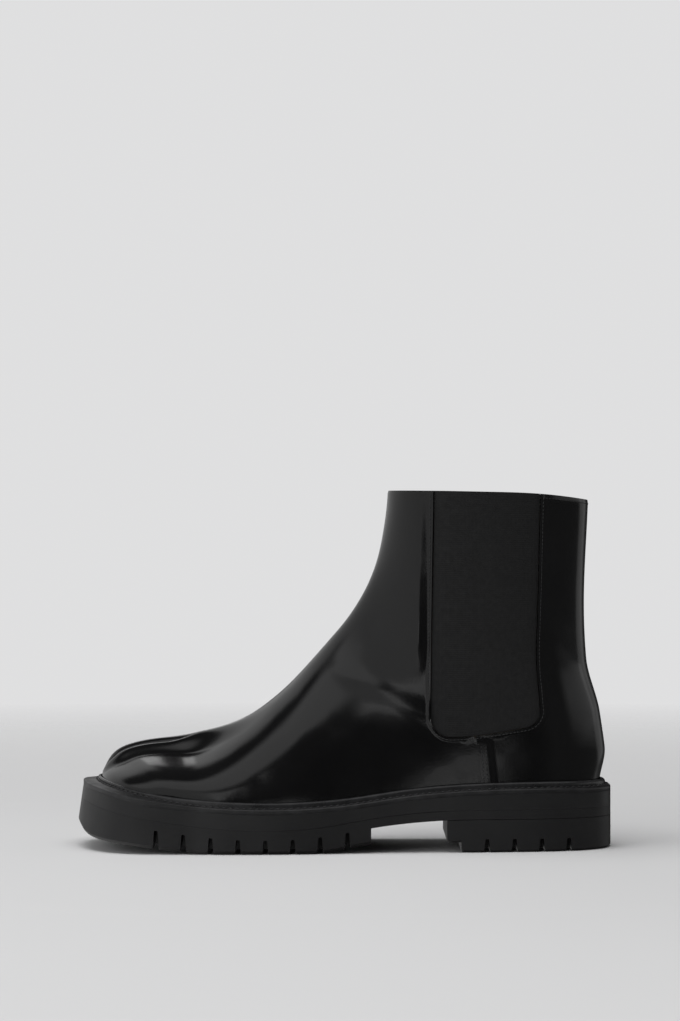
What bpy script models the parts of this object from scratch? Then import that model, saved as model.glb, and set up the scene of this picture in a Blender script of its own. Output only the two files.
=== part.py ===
"""A pull-on ankle boot with elastic side panels, a split toe and a thick lugged sole.

Left boot, standing on the ground. Toe at -X, heel at +X, outer (lateral) side at -Y, up +Z.
The origin is on the ground, at the centre of the boot's plan.
Lengths are millimetres in the functions below and become metres when a mesh is made.
"""
import math

import bmesh
import bpy
import numpy as np
from mathutils import Matrix

MM = 0.001

# ---- driving dimensions, mm ----
GAP = 0.3                 # clearance between neighbouring pieces
LEATHER = 1.6             # upper leather
LINING = 1.0
LINING_SHORT = 0.965      # the lining stops a little above the foot of the vamp
STIFFENER = 1.1           # toe puffs and heel counter
ELASTIC = 1.8
GORE_GAP = 0.5            # clearance round the elastic, on its side
ELASTIC_SET_IN = 0.5      # the elastic lies this far below the leather's face
CLEFT_DEPTH = 11.0        # fold between the big toe and the other toes
CLEFT_ROUND = 9.0         # how far from the fold the toes start to round over
OUTER_TOES_LOWER = 8.0    # the outer toes lie lower than the big toe
HEEL_BULGE = 3.9          # the back swells this much between the two heights below
HEEL_BULGE_FOOT, HEEL_BULGE_TOP = 36.0, 106.0
WELT_SIDE, WELT_TOE, WELT_HEEL = 6.4, 14.5, 6.2
WELT_THICK = 3.0
WELT_IN = 1.5             # from the upper's outline to the welt and bead
BEAD_WIDE, BEAD_TALL = 3.2, 2.8
OUTSOLE_THICK = 5.2
HEEL_FRONT = 57.3         # x of the heel's breast
HEEL_STEP = 7.7           # length of the heel's front lug, which stops short of the ground
HEEL_STEP_RISE = 5.4      # that lug's height above the ground
TREAD_END = 15.2          # x where the forefoot tread ends and the waist starts
TREAD_LIFT = 4.6          # the tread's rear end lies this far above the ground
FOREFOOT_PITCH, HEEL_PITCH = 15.05, 15.25     # from one notch to the next
FIRST_FOREFOOT_NOTCH, FIRST_HEEL_NOTCH = -103.2, 79.5
NOTCH_TOP, NOTCH_FOOT = 2.0, 3.4
HEEL_ROOT = 7.2           # height of the heel's notches
SOLE_RAKE = 5.5           # the sole's toe leans forward as it goes down
RAKE_DEPTH = 38.0         # height over which that lean is reached
INNER_GAP = 0.9           # leather to lining where no stiffener lies between
COUNTER_FRONT = 99.0      # x where the heel counter's wings end
BOTTOM_LOW, BOTTOM_HIGH = 0.5, 2.5            # filler and shank, above the midsole
BOARD_LOW, BOARD_HIGH = 2.9, 5.1              # insole board
SOCK_LOW, SOCK_HIGH = 5.4, 6.6                # sock liner, and the foot of the heel pad
PAD_FRONT, PAD_RISE = 62.0, 1.6
SOCK_REAR = 60.5
CORK_IN, BOARD_IN, PAD_IN, SOCK_IN = 5.0, 1.8, 1.4, 3.6      # inset from the lining
SHANK_FRONT, SHANK_REAR = 4.0, 92.0
SHANK_HALF, SHANK_WAIST = 7.0, 1.5            # half width, and how much narrower at the waist
SHANK_THICK, SHANK_CROWN = 1.2, 0.9
CHAMFER = 0.6             # along the midsole's upper edge
NAIL_R, NAIL_LONG = 1.1, 15.0
PUFF_END = -92.0          # x on the ridge where the toe puffs end
VAMP_ROWS, VAMP_COLUMNS = 13, 20
QUARTER_ROWS, QUARTER_COLUMNS = 7, 20

# ---- the last: fan of sections through the boot ----
# Each section is a plane seen edge-on from the side. It starts on the ridge (x, z) and goes through
# its middle (x, z) to the mirror point beyond it, which is the back line where it meets the heel.
# Then: y of its outer side, its inner side and its ridge, and how much it is pinched
# near the ridge (outer, inner) and near the back.
SECTIONS = np.array([
    (-137.0, 34.6, -84.0, 24.7, -46.0, 46.0, 13.0, -0.25, -0.25, -0.30),
    (-136.6, 43.2, -84.0, 25.4, -47.0, 46.0, 13.0, -0.15, -0.15, -0.30),
    (-133.5, 50.2, -84.0, 26.0, -48.0, 46.0, 13.0, -0.02, -0.05, -0.30),
    (-122.0, 57.2, -82.0, 27.0, -49.0, 45.0, 13.0, 0.10, 0.00, -0.30),
    (-100.0, 61.0, -77.0, 27.0, -50.0, 45.0, 12.0, 0.18, 0.00, -0.30),
    (-78.0, 64.4, -68.0, 26.0, -51.0, 45.0, 10.0, 0.18, 0.00, -0.30),
    (-58.5, 70.6, -56.0, 26.0, -51.0, 44.0, 8.0, 0.14, 0.00, -0.30),
    (-41.0, 81.7, -38.0, 28.0, -50.0, 40.0, 6.0, 0.10, 0.02, -0.30),
    (-24.0, 97.8, -8.0, 32.0, -46.0, 35.0, 4.0, 0.08, 0.05, -0.30),
    (-7.7, 116.2, 32.0, 42.0, -40.0, 33.0, 2.0, 0.06, 0.06, -0.30),
    (4.5, 131.4, 68.0, 67.0, -37.0, 34.0, 0.5, 0.06, 0.06, -0.35),
    (12.5, 144.8, 78.5, 91.0, -35.5, 34.0, 0.0, 0.04, 0.04, -0.30),
    (18.6, 159.6, 79.2, 121.0, -35.2, 34.3, 0.0, 0.02, 0.02, -0.20),
    (22.6, 176.2, 79.2, 155.1, -36.2, 35.7, 0.0, 0.00, 0.00, -0.12),
    (25.2, 193.2, 81.3, 186.1, -37.5, 37.5, 0.0, 0.00, 0.00, -0.10),
    (26.2, 212.2, 82.4, 210.1, -38.2, 38.2, 0.0, 0.00, 0.00, -0.10),
])

# Height of the line where the upper goes into the welt's bead, along the boot: (x, z).
FEATHER = np.array([(-150, 41.0), (-137, 39.2), (-120, 35.6), (-102, 32.1), (-80, 29.7), (-57, 28.3),
                    (-38, 28.0), (-19, 28.6), (4, 30.5), (31, 34.3), (59, 37.0), (87, 38.2),
                    (115, 38.5), (150, 38.2)])
# Underside of the outsole's full-length layer, and the ground line with its toe spring: (x, z).
LAYER = np.array([(-152, 22.0), (-130, 17.5), (-105, 13.3), (-75, 9.2), (-44, 7.6), (-14, 9.0),
                  (15.5, 13.6), (37, 16.2), (58.5, 17.6), (85, 18.0), (150, 18.0)])
FLAT_FROM = -70.0         # x where the toe spring ends and the tread lies flat
GROUND = np.array([(-152, 13.5), (-147, 9.6), (-141, 7.3), (-135, 6.3), (-128, 5.5), (-118, 4.4),
                   (-106, 2.9), (-90, 1.3), (-78, 0.3), (FLAT_FROM, 0.0)])

TOP_LINE = np.array([(20, 200.2), (50, 200.0), (80, 199.4), (111, 198.2), (128, 196.4), (145, 194.0)])
GORE_LEFT, GORE_RIGHT = 48.4, 109.5           # widest x of the elastic's front and rear edge at its foot
GORE_FRONT = np.array([(50, GORE_LEFT), (74, GORE_LEFT), (120, 49.0), (205, 50.2)])        # (z, x)
GORE_REAR = np.array([(50, GORE_RIGHT), (80, 109.3), (103, 107.4), (128, 107.8), (160, 108.7), (205, 109.7)])
GORE_FOOT = np.array([(45, 62.8), (62, 63.2), (77, 64.4), (92, 66.7), (115, 70.3)])
GORE_FRONT_ROUND, GORE_REAR_ROUND = 12.0, 8.0
SEAM = np.array([(30, 77.2), (64, 73.5)])                                          # (z, x)


def spline(table, at):
    """Smooth curve through the rows of table, whose first column is the parameter."""
    table = np.asarray(table, float)
    knots, values = table[:, 0], table[:, 1:]
    step = np.diff(knots)
    count = len(knots)
    slope = np.diff(values, axis=0) / step[:, None]
    system, right = np.eye(count), np.zeros_like(values)
    for i in range(1, count - 1):
        system[i, i - 1:i + 2] = step[i - 1], 2 * (step[i - 1] + step[i]), step[i]
        right[i] = 6 * (slope[i] - slope[i - 1])
    bend = np.linalg.solve(system, right)
    at = np.clip(np.asarray(at, float), knots[0], knots[-1])
    i = np.clip(np.searchsorted(knots, at) - 1, 0, count - 2)
    a = ((knots[i + 1] - at) / step[i])[..., None]
    b = 1 - a
    cubic = (a ** 3 - a) * bend[i] + (b ** 3 - b) * bend[i + 1]
    return a * values[i] + b * values[i + 1] + cubic * (step[i] ** 2)[..., None] / 6


def curve(table, at):
    return spline(table, at)[..., 0]


def ease(t):
    t = np.clip(t, 0, 1)
    return t * t * (3 - 2 * t)


def feather_top(x):
    return curve(FEATHER, x)


def midsole_top(x):
    return feather_top(x) - BEAD_TALL - WELT_THICK - 2 * GAP


def upper_foot(x):
    return midsole_top(x) + 3.6 * GAP


def layer_foot(x):
    return curve(LAYER, x)


def ground(x):
    """Ground line: flat under the ball, lifting at the toe and at the back of the tread."""
    back = TREAD_LIFT * ease((np.asarray(x, float) + 16) / 34)
    return np.where(np.asarray(x) < FLAT_FROM, curve(GROUND, x), back)


def top_line(x):
    return curve(TOP_LINE, x)


# ---- the surface of the last ----
def with_parameter(rows):
    """Put each section's parameter, 0 to 1, in front of it."""
    moved = np.diff(rows[:, :4], axis=0)
    along = np.concatenate([[0], np.cumsum(np.hypot(moved[:, 0], moved[:, 1])
                                           + np.hypot(moved[:, 2], moved[:, 3]))])
    return np.column_stack([along / along[-1], rows])


FAN = with_parameter(SECTIONS)


def skin(s, q):
    """Point on the outside. s picks the section; q is the angle round it, from the ridge at 0
    down the outer side to pi at the back line, and down the inner side to -pi."""
    s, q = np.broadcast_arrays(np.asarray(s, float), np.asarray(q, float))
    row = spline(FAN, s)
    ridge, middle = row[..., 0:2], row[..., 2:4]
    outer, inner, centre = row[..., 4], row[..., 5], row[..., 6]
    cosine, sine = np.cos(q), np.sin(np.abs(q))
    point = ridge + (middle - ridge) * (1 - cosine)[..., None]
    near = np.where(q > 0, row[..., 7], row[..., 8])
    pinch = near * (1 + cosine) / 2 + row[..., 9] * (1 - cosine) / 2
    reach = np.where(q > 0, outer - centre, inner - centre)
    aside = reach * sine * (1 - pinch * cosine ** 2)
    inward = (middle - ridge) / np.linalg.norm(middle - ridge, axis=-1)[..., None]
    point = point + inward * toe_drop(ridge, aside, q)[..., None]
    swell = ease((HEEL_BULGE_TOP - point[..., 1]) / 30) * ease((point[..., 1] - HEEL_BULGE_FOOT) / 20)
    back = point[..., 0] + HEEL_BULGE * swell * ((1 - cosine) / 2) ** 12
    return np.stack([back, centre + aside, point[..., 1]], axis=-1)


def toe_drop(ridge, aside, q):
    """How far the toe's surface sinks: the fold between the toes, and the lower outer toes."""
    away = np.clip(1 - np.abs(aside) / CLEFT_ROUND, 0, 1)
    fold = 1 - np.sqrt(1 - away ** 2)
    reach = ease((-80 - ridge[..., 0]) / 26) * ease((ridge[..., 1] - 40) / 12)
    spread_over = 11 + 11 * ease((ridge[..., 0] + 100) / 40)
    lower = ease(-aside / spread_over) * ease((1.5 - q) / 1.2)
    length = ease((-38 - ridge[..., 0]) / 60) * ease((ridge[..., 1] - 38) / 16)
    return CLEFT_DEPTH * fold * reach + OUTER_TOES_LOWER * lower * length


def normal(s, q):
    """Direction out of the surface, averaged over a small stretch so that the fold has one too."""
    ds, dq = 1e-4, 0.04
    along = skin(np.minimum(s + ds, 1), q) - skin(np.maximum(s - ds, 0), q)
    around = skin(s, q + dq) - skin(s, q - dq)
    out = np.cross(around, along)
    return out / np.linalg.norm(out, axis=-1)[..., None]


def locate(x, z):
    """The section parameter and angle of a point seen from the side."""
    x, z = np.asarray(x, float), np.asarray(z, float)
    low, high = np.zeros_like(x), np.ones_like(x)
    for _ in range(40):
        mid = (low + high) / 2
        row = spline(FAN, mid)
        run = 2 * (row[..., 2:4] - row[..., 0:2])
        turn = run[..., 0] * (z - row[..., 1]) - run[..., 1] * (x - row[..., 0])
        low, high = np.where(turn > 0, mid, low), np.where(turn > 0, high, mid)
    row = spline(FAN, low)
    run = 2 * (row[..., 2:4] - row[..., 0:2])
    part = (x - row[..., 0]) * run[..., 0] + (z - row[..., 1]) * run[..., 1]
    part /= np.sum(run * run, axis=-1)
    return low, np.arccos(np.clip(1 - 2 * part, -1, 1)), part


# ---- outlines of the panels, seen from the side ----
def gore_foot(x):
    """Lower edge of the elastic, with its two round corners."""
    lift_front = np.clip(1 - (x - GORE_LEFT) / GORE_FRONT_ROUND, 0, 1)
    lift_rear = np.clip(1 - (GORE_RIGHT - x) / GORE_REAR_ROUND, 0, 1)
    return (curve(GORE_FOOT, x) + GORE_FRONT_ROUND * (1 - np.sqrt(1 - lift_front ** 2))
            + GORE_REAR_ROUND * (1 - np.sqrt(1 - lift_rear ** 2)))


def in_gore(x, z, wider=0.0):
    ahead = x > curve(GORE_FRONT, z) - wider
    behind = x < curve(GORE_REAR, z) + wider
    return ahead & behind & (z > gore_foot(np.clip(x, GORE_LEFT, GORE_RIGHT)) - wider)


def past_vamp(point):
    x, z = point[..., 0], point[..., 2]
    return (x > curve(SEAM, z) - GAP / 2) | in_gore(x, z, GAP) | (z < upper_foot(x))


def first_past(test, start, end, steps=90):
    """First parameter between start and end where test becomes true."""
    trial = np.linspace(start, end, steps)
    hits = np.nonzero(test(trial))[0]
    if len(hits) == 0:
        return end
    k = max(hits[0], 1)
    low, high = trial[k - 1], trial[k]
    for _ in range(30):
        mid = (low + high) / 2
        if test(np.array([mid]))[0]:
            high = mid
        else:
            low = mid
    return low


def spread(count, bunch=1.5):
    """Numbers from -1 to 1, closer together near 0."""
    half = np.linspace(0, 1, count // 2 + 1) ** bunch
    return np.concatenate([-half[:0:-1], half])


def rear_edge():
    """Corners of the vamp's edge from the foot, up the seam, forward under the elastic and up its
    front: x, z, and how far the row that ends there dips to pass below the elastic's corner."""
    seam_foot = float(curve(SEAM, 31.0)) - GAP / 2
    foot = [(x, float(upper_foot(x)), dip) for x, dip in ((30.0, 0.0), (54.0, 3.0), (seam_foot, 14.0))]
    seam = [(float(curve(SEAM, z)) - GAP / 2, z, dip) for z, dip in ((47.0, 34.0), (62.0, 50.0))]
    under = [(x, float(gore_foot(x)) - GAP, dip) for x, dip in ((67.0, 49.0), (60.4, 44.0), (54.4, 34.0))]
    front = [(GORE_LEFT + ahead - GAP, z, dip) for ahead, z, dip in ((2.4, 64.6, 24.0), (0.5, 68.6, 14.0),
                                                                     (0.0, 74.0, 6.0), (0.1, 84.0, 0.0))]
    return foot + seam + under + front


def dipping_row(fractions, s_ridge, end, dip):
    """Section parameters and angles along a row that dips between the ridge and its end."""
    start = spline(FAN, s_ridge)[:2]
    turn = float(locate(end[0], end[1])[1])
    part = ((1 - np.cos(fractions * turn)) / (1 - math.cos(turn)))[:, None]
    middle = (start + end) / 2 - np.array([0.0, dip])
    path = (1 - part) ** 2 * start + 2 * part * (1 - part) * middle + part ** 2 * end
    s, q, _ = locate(path[:, 0], path[:, 1])
    return np.where(fractions == 0, s_ridge, s), np.where(fractions == 0, 0.0, q * np.sign(fractions))


def vamp_grid(rows, columns):
    """Section parameters and angles over the vamp, from the toe's foot up to the top line.
    rows is the number of rows over the toe and over the shaft; between them each corner has one."""
    fractions = spread(columns)
    edge = np.array(rear_edge())
    first, last = (float(locate(*edge[k, :2])[0]) for k in (0, -1))
    top = float(locate(25.6, top_line(25.6))[0])
    s_grid, q_grid = [], []
    for s in np.linspace(0, first, rows, endpoint=False):
        turn = first_past(lambda q: past_vamp(skin(s, q)), 0.0, math.pi)
        s_grid.append(np.full(len(fractions), s))
        q_grid.append(fractions * turn)
    for s, (x, z, dip) in zip(np.linspace(first, last, len(edge)), edge):
        row = dipping_row(fractions, s, np.array([x, z]), dip)
        s_grid.append(row[0])
        q_grid.append(row[1])
    for s in np.linspace(last, top, rows)[1:]:
        turn = first_past(lambda q: past_vamp(skin(s, q)), 0.0, math.pi)
        lift = ease((s - last) / (top - last) * 2.5 - 1.5)
        q = fractions * turn
        s_grid.append(s + lift * (top_parameter(q, top) - top))
        q_grid.append(q)
    return np.array(s_grid), np.array(q_grid)


def top_parameter(q, guess):
    """Section parameter where the surface at angle q reaches the top line."""
    low, high = np.full_like(q, guess - 0.1), np.ones_like(q)
    for _ in range(40):
        mid = (low + high) / 2
        point = skin(mid, q)
        under = point[..., 2] < top_line(point[..., 0])
        low, high = np.where(under, mid, low), np.where(under, high, mid)
    return low


def back_x(level):
    """x of the back line where it crosses the height level(x)."""
    low, high = 100.0, 165.0
    for _ in range(40):
        mid = (low + high) / 2
        inside = locate(mid, level(mid))[2] < 1
        low, high = (mid, high) if inside else (low, mid)
    return low


def wrap_grid(levels, front, columns):
    """Section parameters and angles over a panel that wraps round the heel, row by row.
    front(x, z) is true ahead of the panel."""
    turn = np.linspace(0, 1, columns // 2 + 1)
    s_grid, q_grid = [], []
    for level in levels:
        back = back_x(level)
        ahead = first_past(lambda x: front(x, level(x)), back - 0.5, 40.0)
        x = ahead + (back - ahead) * np.sin(turn * math.pi / 2)
        s, q, _ = locate(x, level(x))
        q[-1] = math.pi
        s_grid.append(np.concatenate([s, s[-2::-1]]))
        q_grid.append(np.concatenate([q, 2 * math.pi - q[-2::-1]]))
    return np.array(s_grid), np.array(q_grid)


def past_quarter(x, z):
    return (x < curve(SEAM, z) + GAP / 2) | in_gore(x, z, GAP)


def quarter_levels(rows):
    """Heights of the quarter's rows as functions of x, close together beside the elastic's foot."""
    corner = gore_foot(curve(SEAM, 63.0)) - GAP / 2
    marks = list(np.linspace(0, 1, 5)[:-1])
    lower = [lambda x, m=m: upper_foot(x) + (corner - upper_foot(x)) * m for m in marks]
    heights = [corner, corner + 1.4, corner + 3.0, corner + 4.6, corner + 6.4, corner + 9.0, corner + 13.0]
    beside = [lambda x, h=h: h + 0 * np.asarray(x, float) for h in heights]
    start = heights[-1]
    marks = np.linspace(0, 1, rows + 1)[1:]
    upper = [lambda x, m=m: start + (top_line(x) - start) * m for m in marks]
    return lower + beside + upper


def fold_angle(q):
    """Angles past the back line, up to 2 pi, as angles down the inner side."""
    return np.where(q > math.pi, q - 2 * math.pi, q)


def gore_grid(rows, columns, side):
    """Section parameters and angles over one elastic panel; side is 1 outer, -1 inner."""
    turn = (1 - np.cos(np.linspace(0, math.pi, columns + 1))) / 2
    s_grid, q_grid = [], []
    for v in np.linspace(0, 1, rows + 1):
        x = GORE_LEFT + GORE_GAP + (GORE_RIGHT - GORE_LEFT - 2 * GORE_GAP) * turn
        for _ in range(6):
            z = gore_foot(x) + GORE_GAP + (top_line(x) - gore_foot(x) - GORE_GAP) * v
            front, rear = curve(GORE_FRONT, z) + GORE_GAP, curve(GORE_REAR, z) - GORE_GAP
            x = front + (rear - front) * turn
        s, q, _ = locate(x, z)
        s_grid.append(s)
        q_grid.append(side * q)
    return np.array(s_grid), np.array(q_grid)


def lining_depth(point):
    """Depth of the lining's outer face: deeper where a stiffener lies behind the leather,
    and deeper still under the fold between the toes."""
    x, y, z = point[..., 0], point[..., 1], point[..., 2]
    toe = ease((-44 - x) / 12)
    heel = ease((x - 81) / 8) * ease((120 - z) / 18)
    fold = ease(1 - np.abs(y - 12) / 8) * ease((-66 - x) / 14) * ease((z - 42) / 6)
    return LEATHER + INNER_GAP + (STIFFENER + 2 * GAP) * np.maximum(toe, heel) + 1.5 * fold


# ---- meshes ----
def material(name, colour, roughness, metallic=0.0):
    made = bpy.data.materials.new(name)
    made.use_nodes = True
    shader = made.node_tree.nodes["Principled BSDF"]
    shader.inputs["Base Color"].default_value = (*colour, 1.0)
    shader.inputs["Roughness"].default_value = roughness
    shader.inputs["Metallic"].default_value = metallic
    return made


def add_object(name, points, faces, finish, smooth=True):
    """Object from points in millimetres; its faces are turned outward."""
    mesh = bpy.data.meshes.new(name)
    mesh.from_pydata([tuple(float(c) * MM for c in p) for p in points], [], faces)
    shape = bmesh.new()
    shape.from_mesh(mesh)
    bmesh.ops.recalc_face_normals(shape, faces=shape.faces[:])
    shape.to_mesh(mesh)
    shape.free()
    mesh.materials.append(finish)
    if smooth:
        mesh.shade_smooth()
        mesh.set_sharp_from_angle(angle=math.radians(35))
    made = bpy.data.objects.new(name, mesh)
    bpy.context.scene.collection.objects.link(made)
    return made


def add_shell(name, s, q, outer_depth, inner_depth, finish):
    """Closed sheet between two depths below the last's surface, over a grid of s and q."""
    q = fold_angle(q)
    face, out = skin(s, q), normal(s, q)
    outer = face - out * as_depth(outer_depth, face)[..., None]
    inner = face - out * as_depth(inner_depth, face)[..., None]
    rows, columns = s.shape
    points = list(outer.reshape(-1, 3)) + list(inner.reshape(-1, 3))
    half = rows * columns

    def at(i, j, layer):
        return layer * half + i * columns + j

    faces = []
    for i in range(rows - 1):
        for j in range(columns - 1):
            for layer in (0, 1):
                a, b = at(i, j, layer), at(i, j + 1, layer)
                c, d = at(i + 1, j + 1, layer), at(i + 1, j, layer)
                faces += [(a, b, c), (a, c, d)] if layer == 0 else [(a, c, b), (a, d, c)]
    border = ([(0, j) for j in range(columns - 1)] + [(i, columns - 1) for i in range(rows - 1)]
              + [(rows - 1, j) for j in range(columns - 1, 0, -1)]
              + [(i, 0) for i in range(rows - 1, 0, -1)])
    for (i, j), (k, m) in zip(border, border[1:] + border[:1]):
        faces.append((at(i, j, 0), at(i, j, 1), at(k, m, 1), at(k, m, 0)))
    return add_object(name, points, faces, finish)


def as_depth(depth, face):
    return depth(face) if callable(depth) else np.full(face.shape[:-1], float(depth))


def add_sections(name, x_values, section, finish, rake=0.0):
    """Solid lofted through flat sections across the boot; section(x) gives its (y, z) loop."""
    loops = []
    for x in x_values:
        loops.append([(x + rake * lean(x) * z / RAKE_DEPTH, y, z) for y, z in section(x)])
    size = len(loops[0])
    points = [p for loop in loops for p in loop]
    faces = [tuple(range(size)), tuple(range(len(points) - size, len(points)))]
    for i in range(len(loops) - 1):
        for j in range(size):
            k = (j + 1) % size
            faces.append((i * size + j, i * size + k, (i + 1) * size + k, (i + 1) * size + j))
    return add_object(name, points, faces, finish)


def lean(x):
    return ease((-112 - x) / 34)


# ---- plan outlines ----
def contour(level, steps=28):
    """Points (lateral, medial) where the outside of the upper crosses the height level(x),
    from the toe to the back of the heel, as two (n, 2) arrays of x and y."""
    sides = []
    for side in (1, -1):
        line = []
        for q in np.linspace(0, 1.4, 16):
            s = first_past(lambda t: skin(t, side * q)[..., 2] > level(skin(t, side * q)[..., 0]), 0.0, 0.3)
            line.append(skin(s, side * q))
        start = s + 0.01
        end = first_past(lambda t: skin(t, math.pi)[..., 2] > level(skin(t, math.pi)[..., 0]), 0.3, 1.0)
        for t in start + (end - start) * np.sin(np.linspace(0, 1, steps)[1:] * math.pi / 2):
            q = first_past(lambda a: skin(t, side * a)[..., 2] < level(skin(t, side * a)[..., 0]),
                           0.9, math.pi)
            line.append(skin(t, side * q))
        sides.append(np.array(line)[:, :2])
    return sides


class Outline:
    """Closed plan curve, which gives its outer and inner side at any x."""

    def __init__(self, sides):
        outer, inner = sides
        self.loop = np.concatenate([outer, inner[-2:0:-1]])

    def normals(self):
        ahead = np.roll(self.loop, -1, axis=0) - np.roll(self.loop, 1, axis=0)
        out = np.stack([-ahead[:, 1], ahead[:, 0]], axis=1)
        out /= np.linalg.norm(out, axis=1)[:, None]
        centre = self.loop.mean(axis=0)
        return out * np.sign(np.sum(out * (self.loop - centre), axis=1).sum())

    def grown(self, distance):
        """The outline moved outward by distance, a number or a function of x."""
        far = distance(self.loop[:, 0]) if callable(distance) else distance
        copy = Outline.__new__(Outline)
        copy.loop = self.loop + self.normals() * np.broadcast_to(far, len(self.loop))[:, None]
        return copy

    def ends(self):
        return self.loop[:, 0].min(), self.loop[:, 0].max()

    def sides(self, x):
        """y of the outer and the inner side at x."""
        toe, heel = np.argmin(self.loop[:, 0]), np.argmax(self.loop[:, 0])
        ring = np.roll(self.loop, -toe, axis=0)
        cut = (heel - toe) % len(ring)
        one, two = ring[:cut + 1], np.concatenate([ring[cut:], ring[:1]])[::-1]
        a, b = np.interp(x, one[:, 0], one[:, 1]), np.interp(x, two[:, 0], two[:, 1])
        return min(a, b), max(a, b)


def stations(low, high, count):
    """x values from low to high, closer together at both ends."""
    return low + (high - low) * (1 - np.cos(np.linspace(0, math.pi, count))) / 2


def welt_reach(x):
    toe = ease((-78 - np.asarray(x, float)) / 45)
    heel = ease((np.asarray(x, float) - 105) / 35)
    return WELT_SIDE + (WELT_TOE - WELT_SIDE) * toe + (WELT_HEEL - WELT_SIDE) * heel


# ---- pieces of the upper ----
def make_vamp(leather, lining, board):
    """Vamp, its lining, and the puff that stiffens each side of the split toe between them."""
    s, q = vamp_grid(VAMP_ROWS, VAMP_COLUMNS)
    add_shell("vamp", s, q, 0.0, LEATHER, leather)
    over_foot = np.arange(len(s)) < VAMP_ROWS + 3
    short = q.copy()
    short[over_foot, 0] *= LINING_SHORT
    short[over_foot, -1] *= LINING_SHORT
    add_shell("vamp_lining", s, short, lining_depth, lambda p: lining_depth(p) + LINING, lining)
    toe = s[:, VAMP_COLUMNS // 2] < locate(PUFF_END, 62.0)[0]
    fold = VAMP_COLUMNS // 2
    depth = LEATHER + 2 * GAP
    for name, part in (("medial_toe_puff", slice(1, fold - 1)), ("lateral_toe_puff", slice(fold + 2, -1))):
        add_shell(name, s[toe, part], q[toe, part], depth, depth + STIFFENER, board)


def make_quarter(leather, lining, board):
    """Rear quarter, its lining, and the heel counter between them."""
    s, q = wrap_grid(quarter_levels(QUARTER_ROWS), past_quarter, QUARTER_COLUMNS)
    add_shell("rear_quarter", s, q, 0.0, LEATHER, leather)
    add_shell("quarter_lining", s, q, lining_depth, lambda p: lining_depth(p) + LINING, lining)
    s, q = wrap_grid(counter_levels(), past_counter, 16)
    depth = LEATHER + 2 * GAP
    add_shell("heel_counter", s, q, depth, depth + STIFFENER, board)


def make_gores(elastic):
    for name, side in (("elastic_gore_lateral", 1), ("elastic_gore_medial", -1)):
        s, q = gore_grid(9, 10, side)
        add_shell(name, s, q, ELASTIC_SET_IN, ELASTIC_SET_IN + ELASTIC, elastic)


def past_counter(x, z):
    return (x < COUNTER_FRONT + 0 * z) | in_gore(x, z, 1.5)


def counter_levels():
    heights = [44.0, 55.0, 61.5, 64.0, 66.5, 69.0, 76.0, 82.0]
    return [lambda x: upper_foot(x) + 0.4] + [lambda x, h=h: h + 0 * np.asarray(x, float) for h in heights]


# ---- pieces of the bottom ----
def slab_section(outline, foot, top, inset=0.0):
    """Section function of a plain slab between the heights foot(x) and top(x)."""
    edge = outline.grown(-inset)

    def section(x):
        lat, med = edge.sides(x)
        mid = (lat + med) / 2
        z0, z1 = float(foot(x)), float(top(x))
        return [(lat, z0), (mid, z0), (med, z0), (med, z1), (mid, z1), (lat, z1)]

    return section


def trimmed(outline, inset=0.0, low=None, high=None, count=26):
    ends = outline.grown(-inset).ends()
    first = ends[0] + 0.2 if low is None else low
    last = ends[1] - 0.2 if high is None else high
    return stations(first, last, count)


def make_inner_bottom(foot_outline, board, leather, foam, cork, steel):
    """Layers inside the upper, from the midsole up: filler and shank, insole board, sock."""
    wall = LEATHER + STIFFENER + LINING + 6 * GAP + INNER_GAP
    inside = foot_outline.grown(-wall)

    def level(rise):
        return lambda x: midsole_top(x) + rise

    def slab(low, high, inset):
        return slab_section(inside, level(low), level(high), inset)

    x = trimmed(inside, CORK_IN, high=-SHANK_FRONT, count=18)
    add_sections("cork_filler", x, slab(BOTTOM_LOW, BOTTOM_HIGH, CORK_IN), cork)
    x = np.linspace(SHANK_FRONT, SHANK_REAR, 12)
    add_sections("shank", x, shank_section(level(BOTTOM_LOW)), steel)
    x = trimmed(inside, BOARD_IN)
    add_sections("insole_board", x, slab(BOARD_LOW, BOARD_HIGH, BOARD_IN), board)
    x = trimmed(inside, PAD_IN, low=PAD_FRONT, count=14)
    add_sections("heel_pad", x, slab_section(inside, level(SOCK_LOW), pad_top, PAD_IN), foam)
    x = trimmed(inside, SOCK_IN, high=SOCK_REAR, count=20)
    add_sections("sock_liner", x, slab(SOCK_LOW, SOCK_HIGH, SOCK_IN), leather)


def pad_top(x):
    return midsole_top(x) + SOCK_HIGH + PAD_RISE * ease((x - PAD_FRONT) / 18)


def shank_section(foot):
    def section(x):
        along = (x - SHANK_FRONT) / (SHANK_REAR - SHANK_FRONT)
        half = SHANK_HALF - SHANK_WAIST * math.cos(along * 2 * math.pi)
        z = float(foot(x))
        low, high = z + SHANK_CROWN, z + SHANK_THICK + SHANK_CROWN
        return [(-half, z), (-half * 0.4, low), (half * 0.4, low), (half, z), (half, z + SHANK_THICK),
                (half * 0.4, high), (-half * 0.4, high), (-half, z + SHANK_THICK)]
    return section


def make_ring(name, outline, section, finish):
    """Ring round the boot. section(x) gives (distance out, height above the midsole) points."""
    loop, out = outline.loop, outline.normals()
    points, faces = [], []
    for p, n in zip(loop, out):
        for away, rise in section(p[0]):
            back = SOLE_RAKE * lean(p[0]) * 0.9 * away / float(welt_reach(p[0]))
            x = p[0] + n[0] * away + back
            points.append((x, p[1] + n[1] * away, float(midsole_top(x)) + rise))
    size = len(section(0.0))
    count = len(loop)
    for i in range(count):
        k = (i + 1) % count
        for j in range(size):
            m = (j + 1) % size
            faces.append((i * size + j, i * size + m, k * size + m, k * size + j))
    return add_object(name, points, faces, finish)


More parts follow.
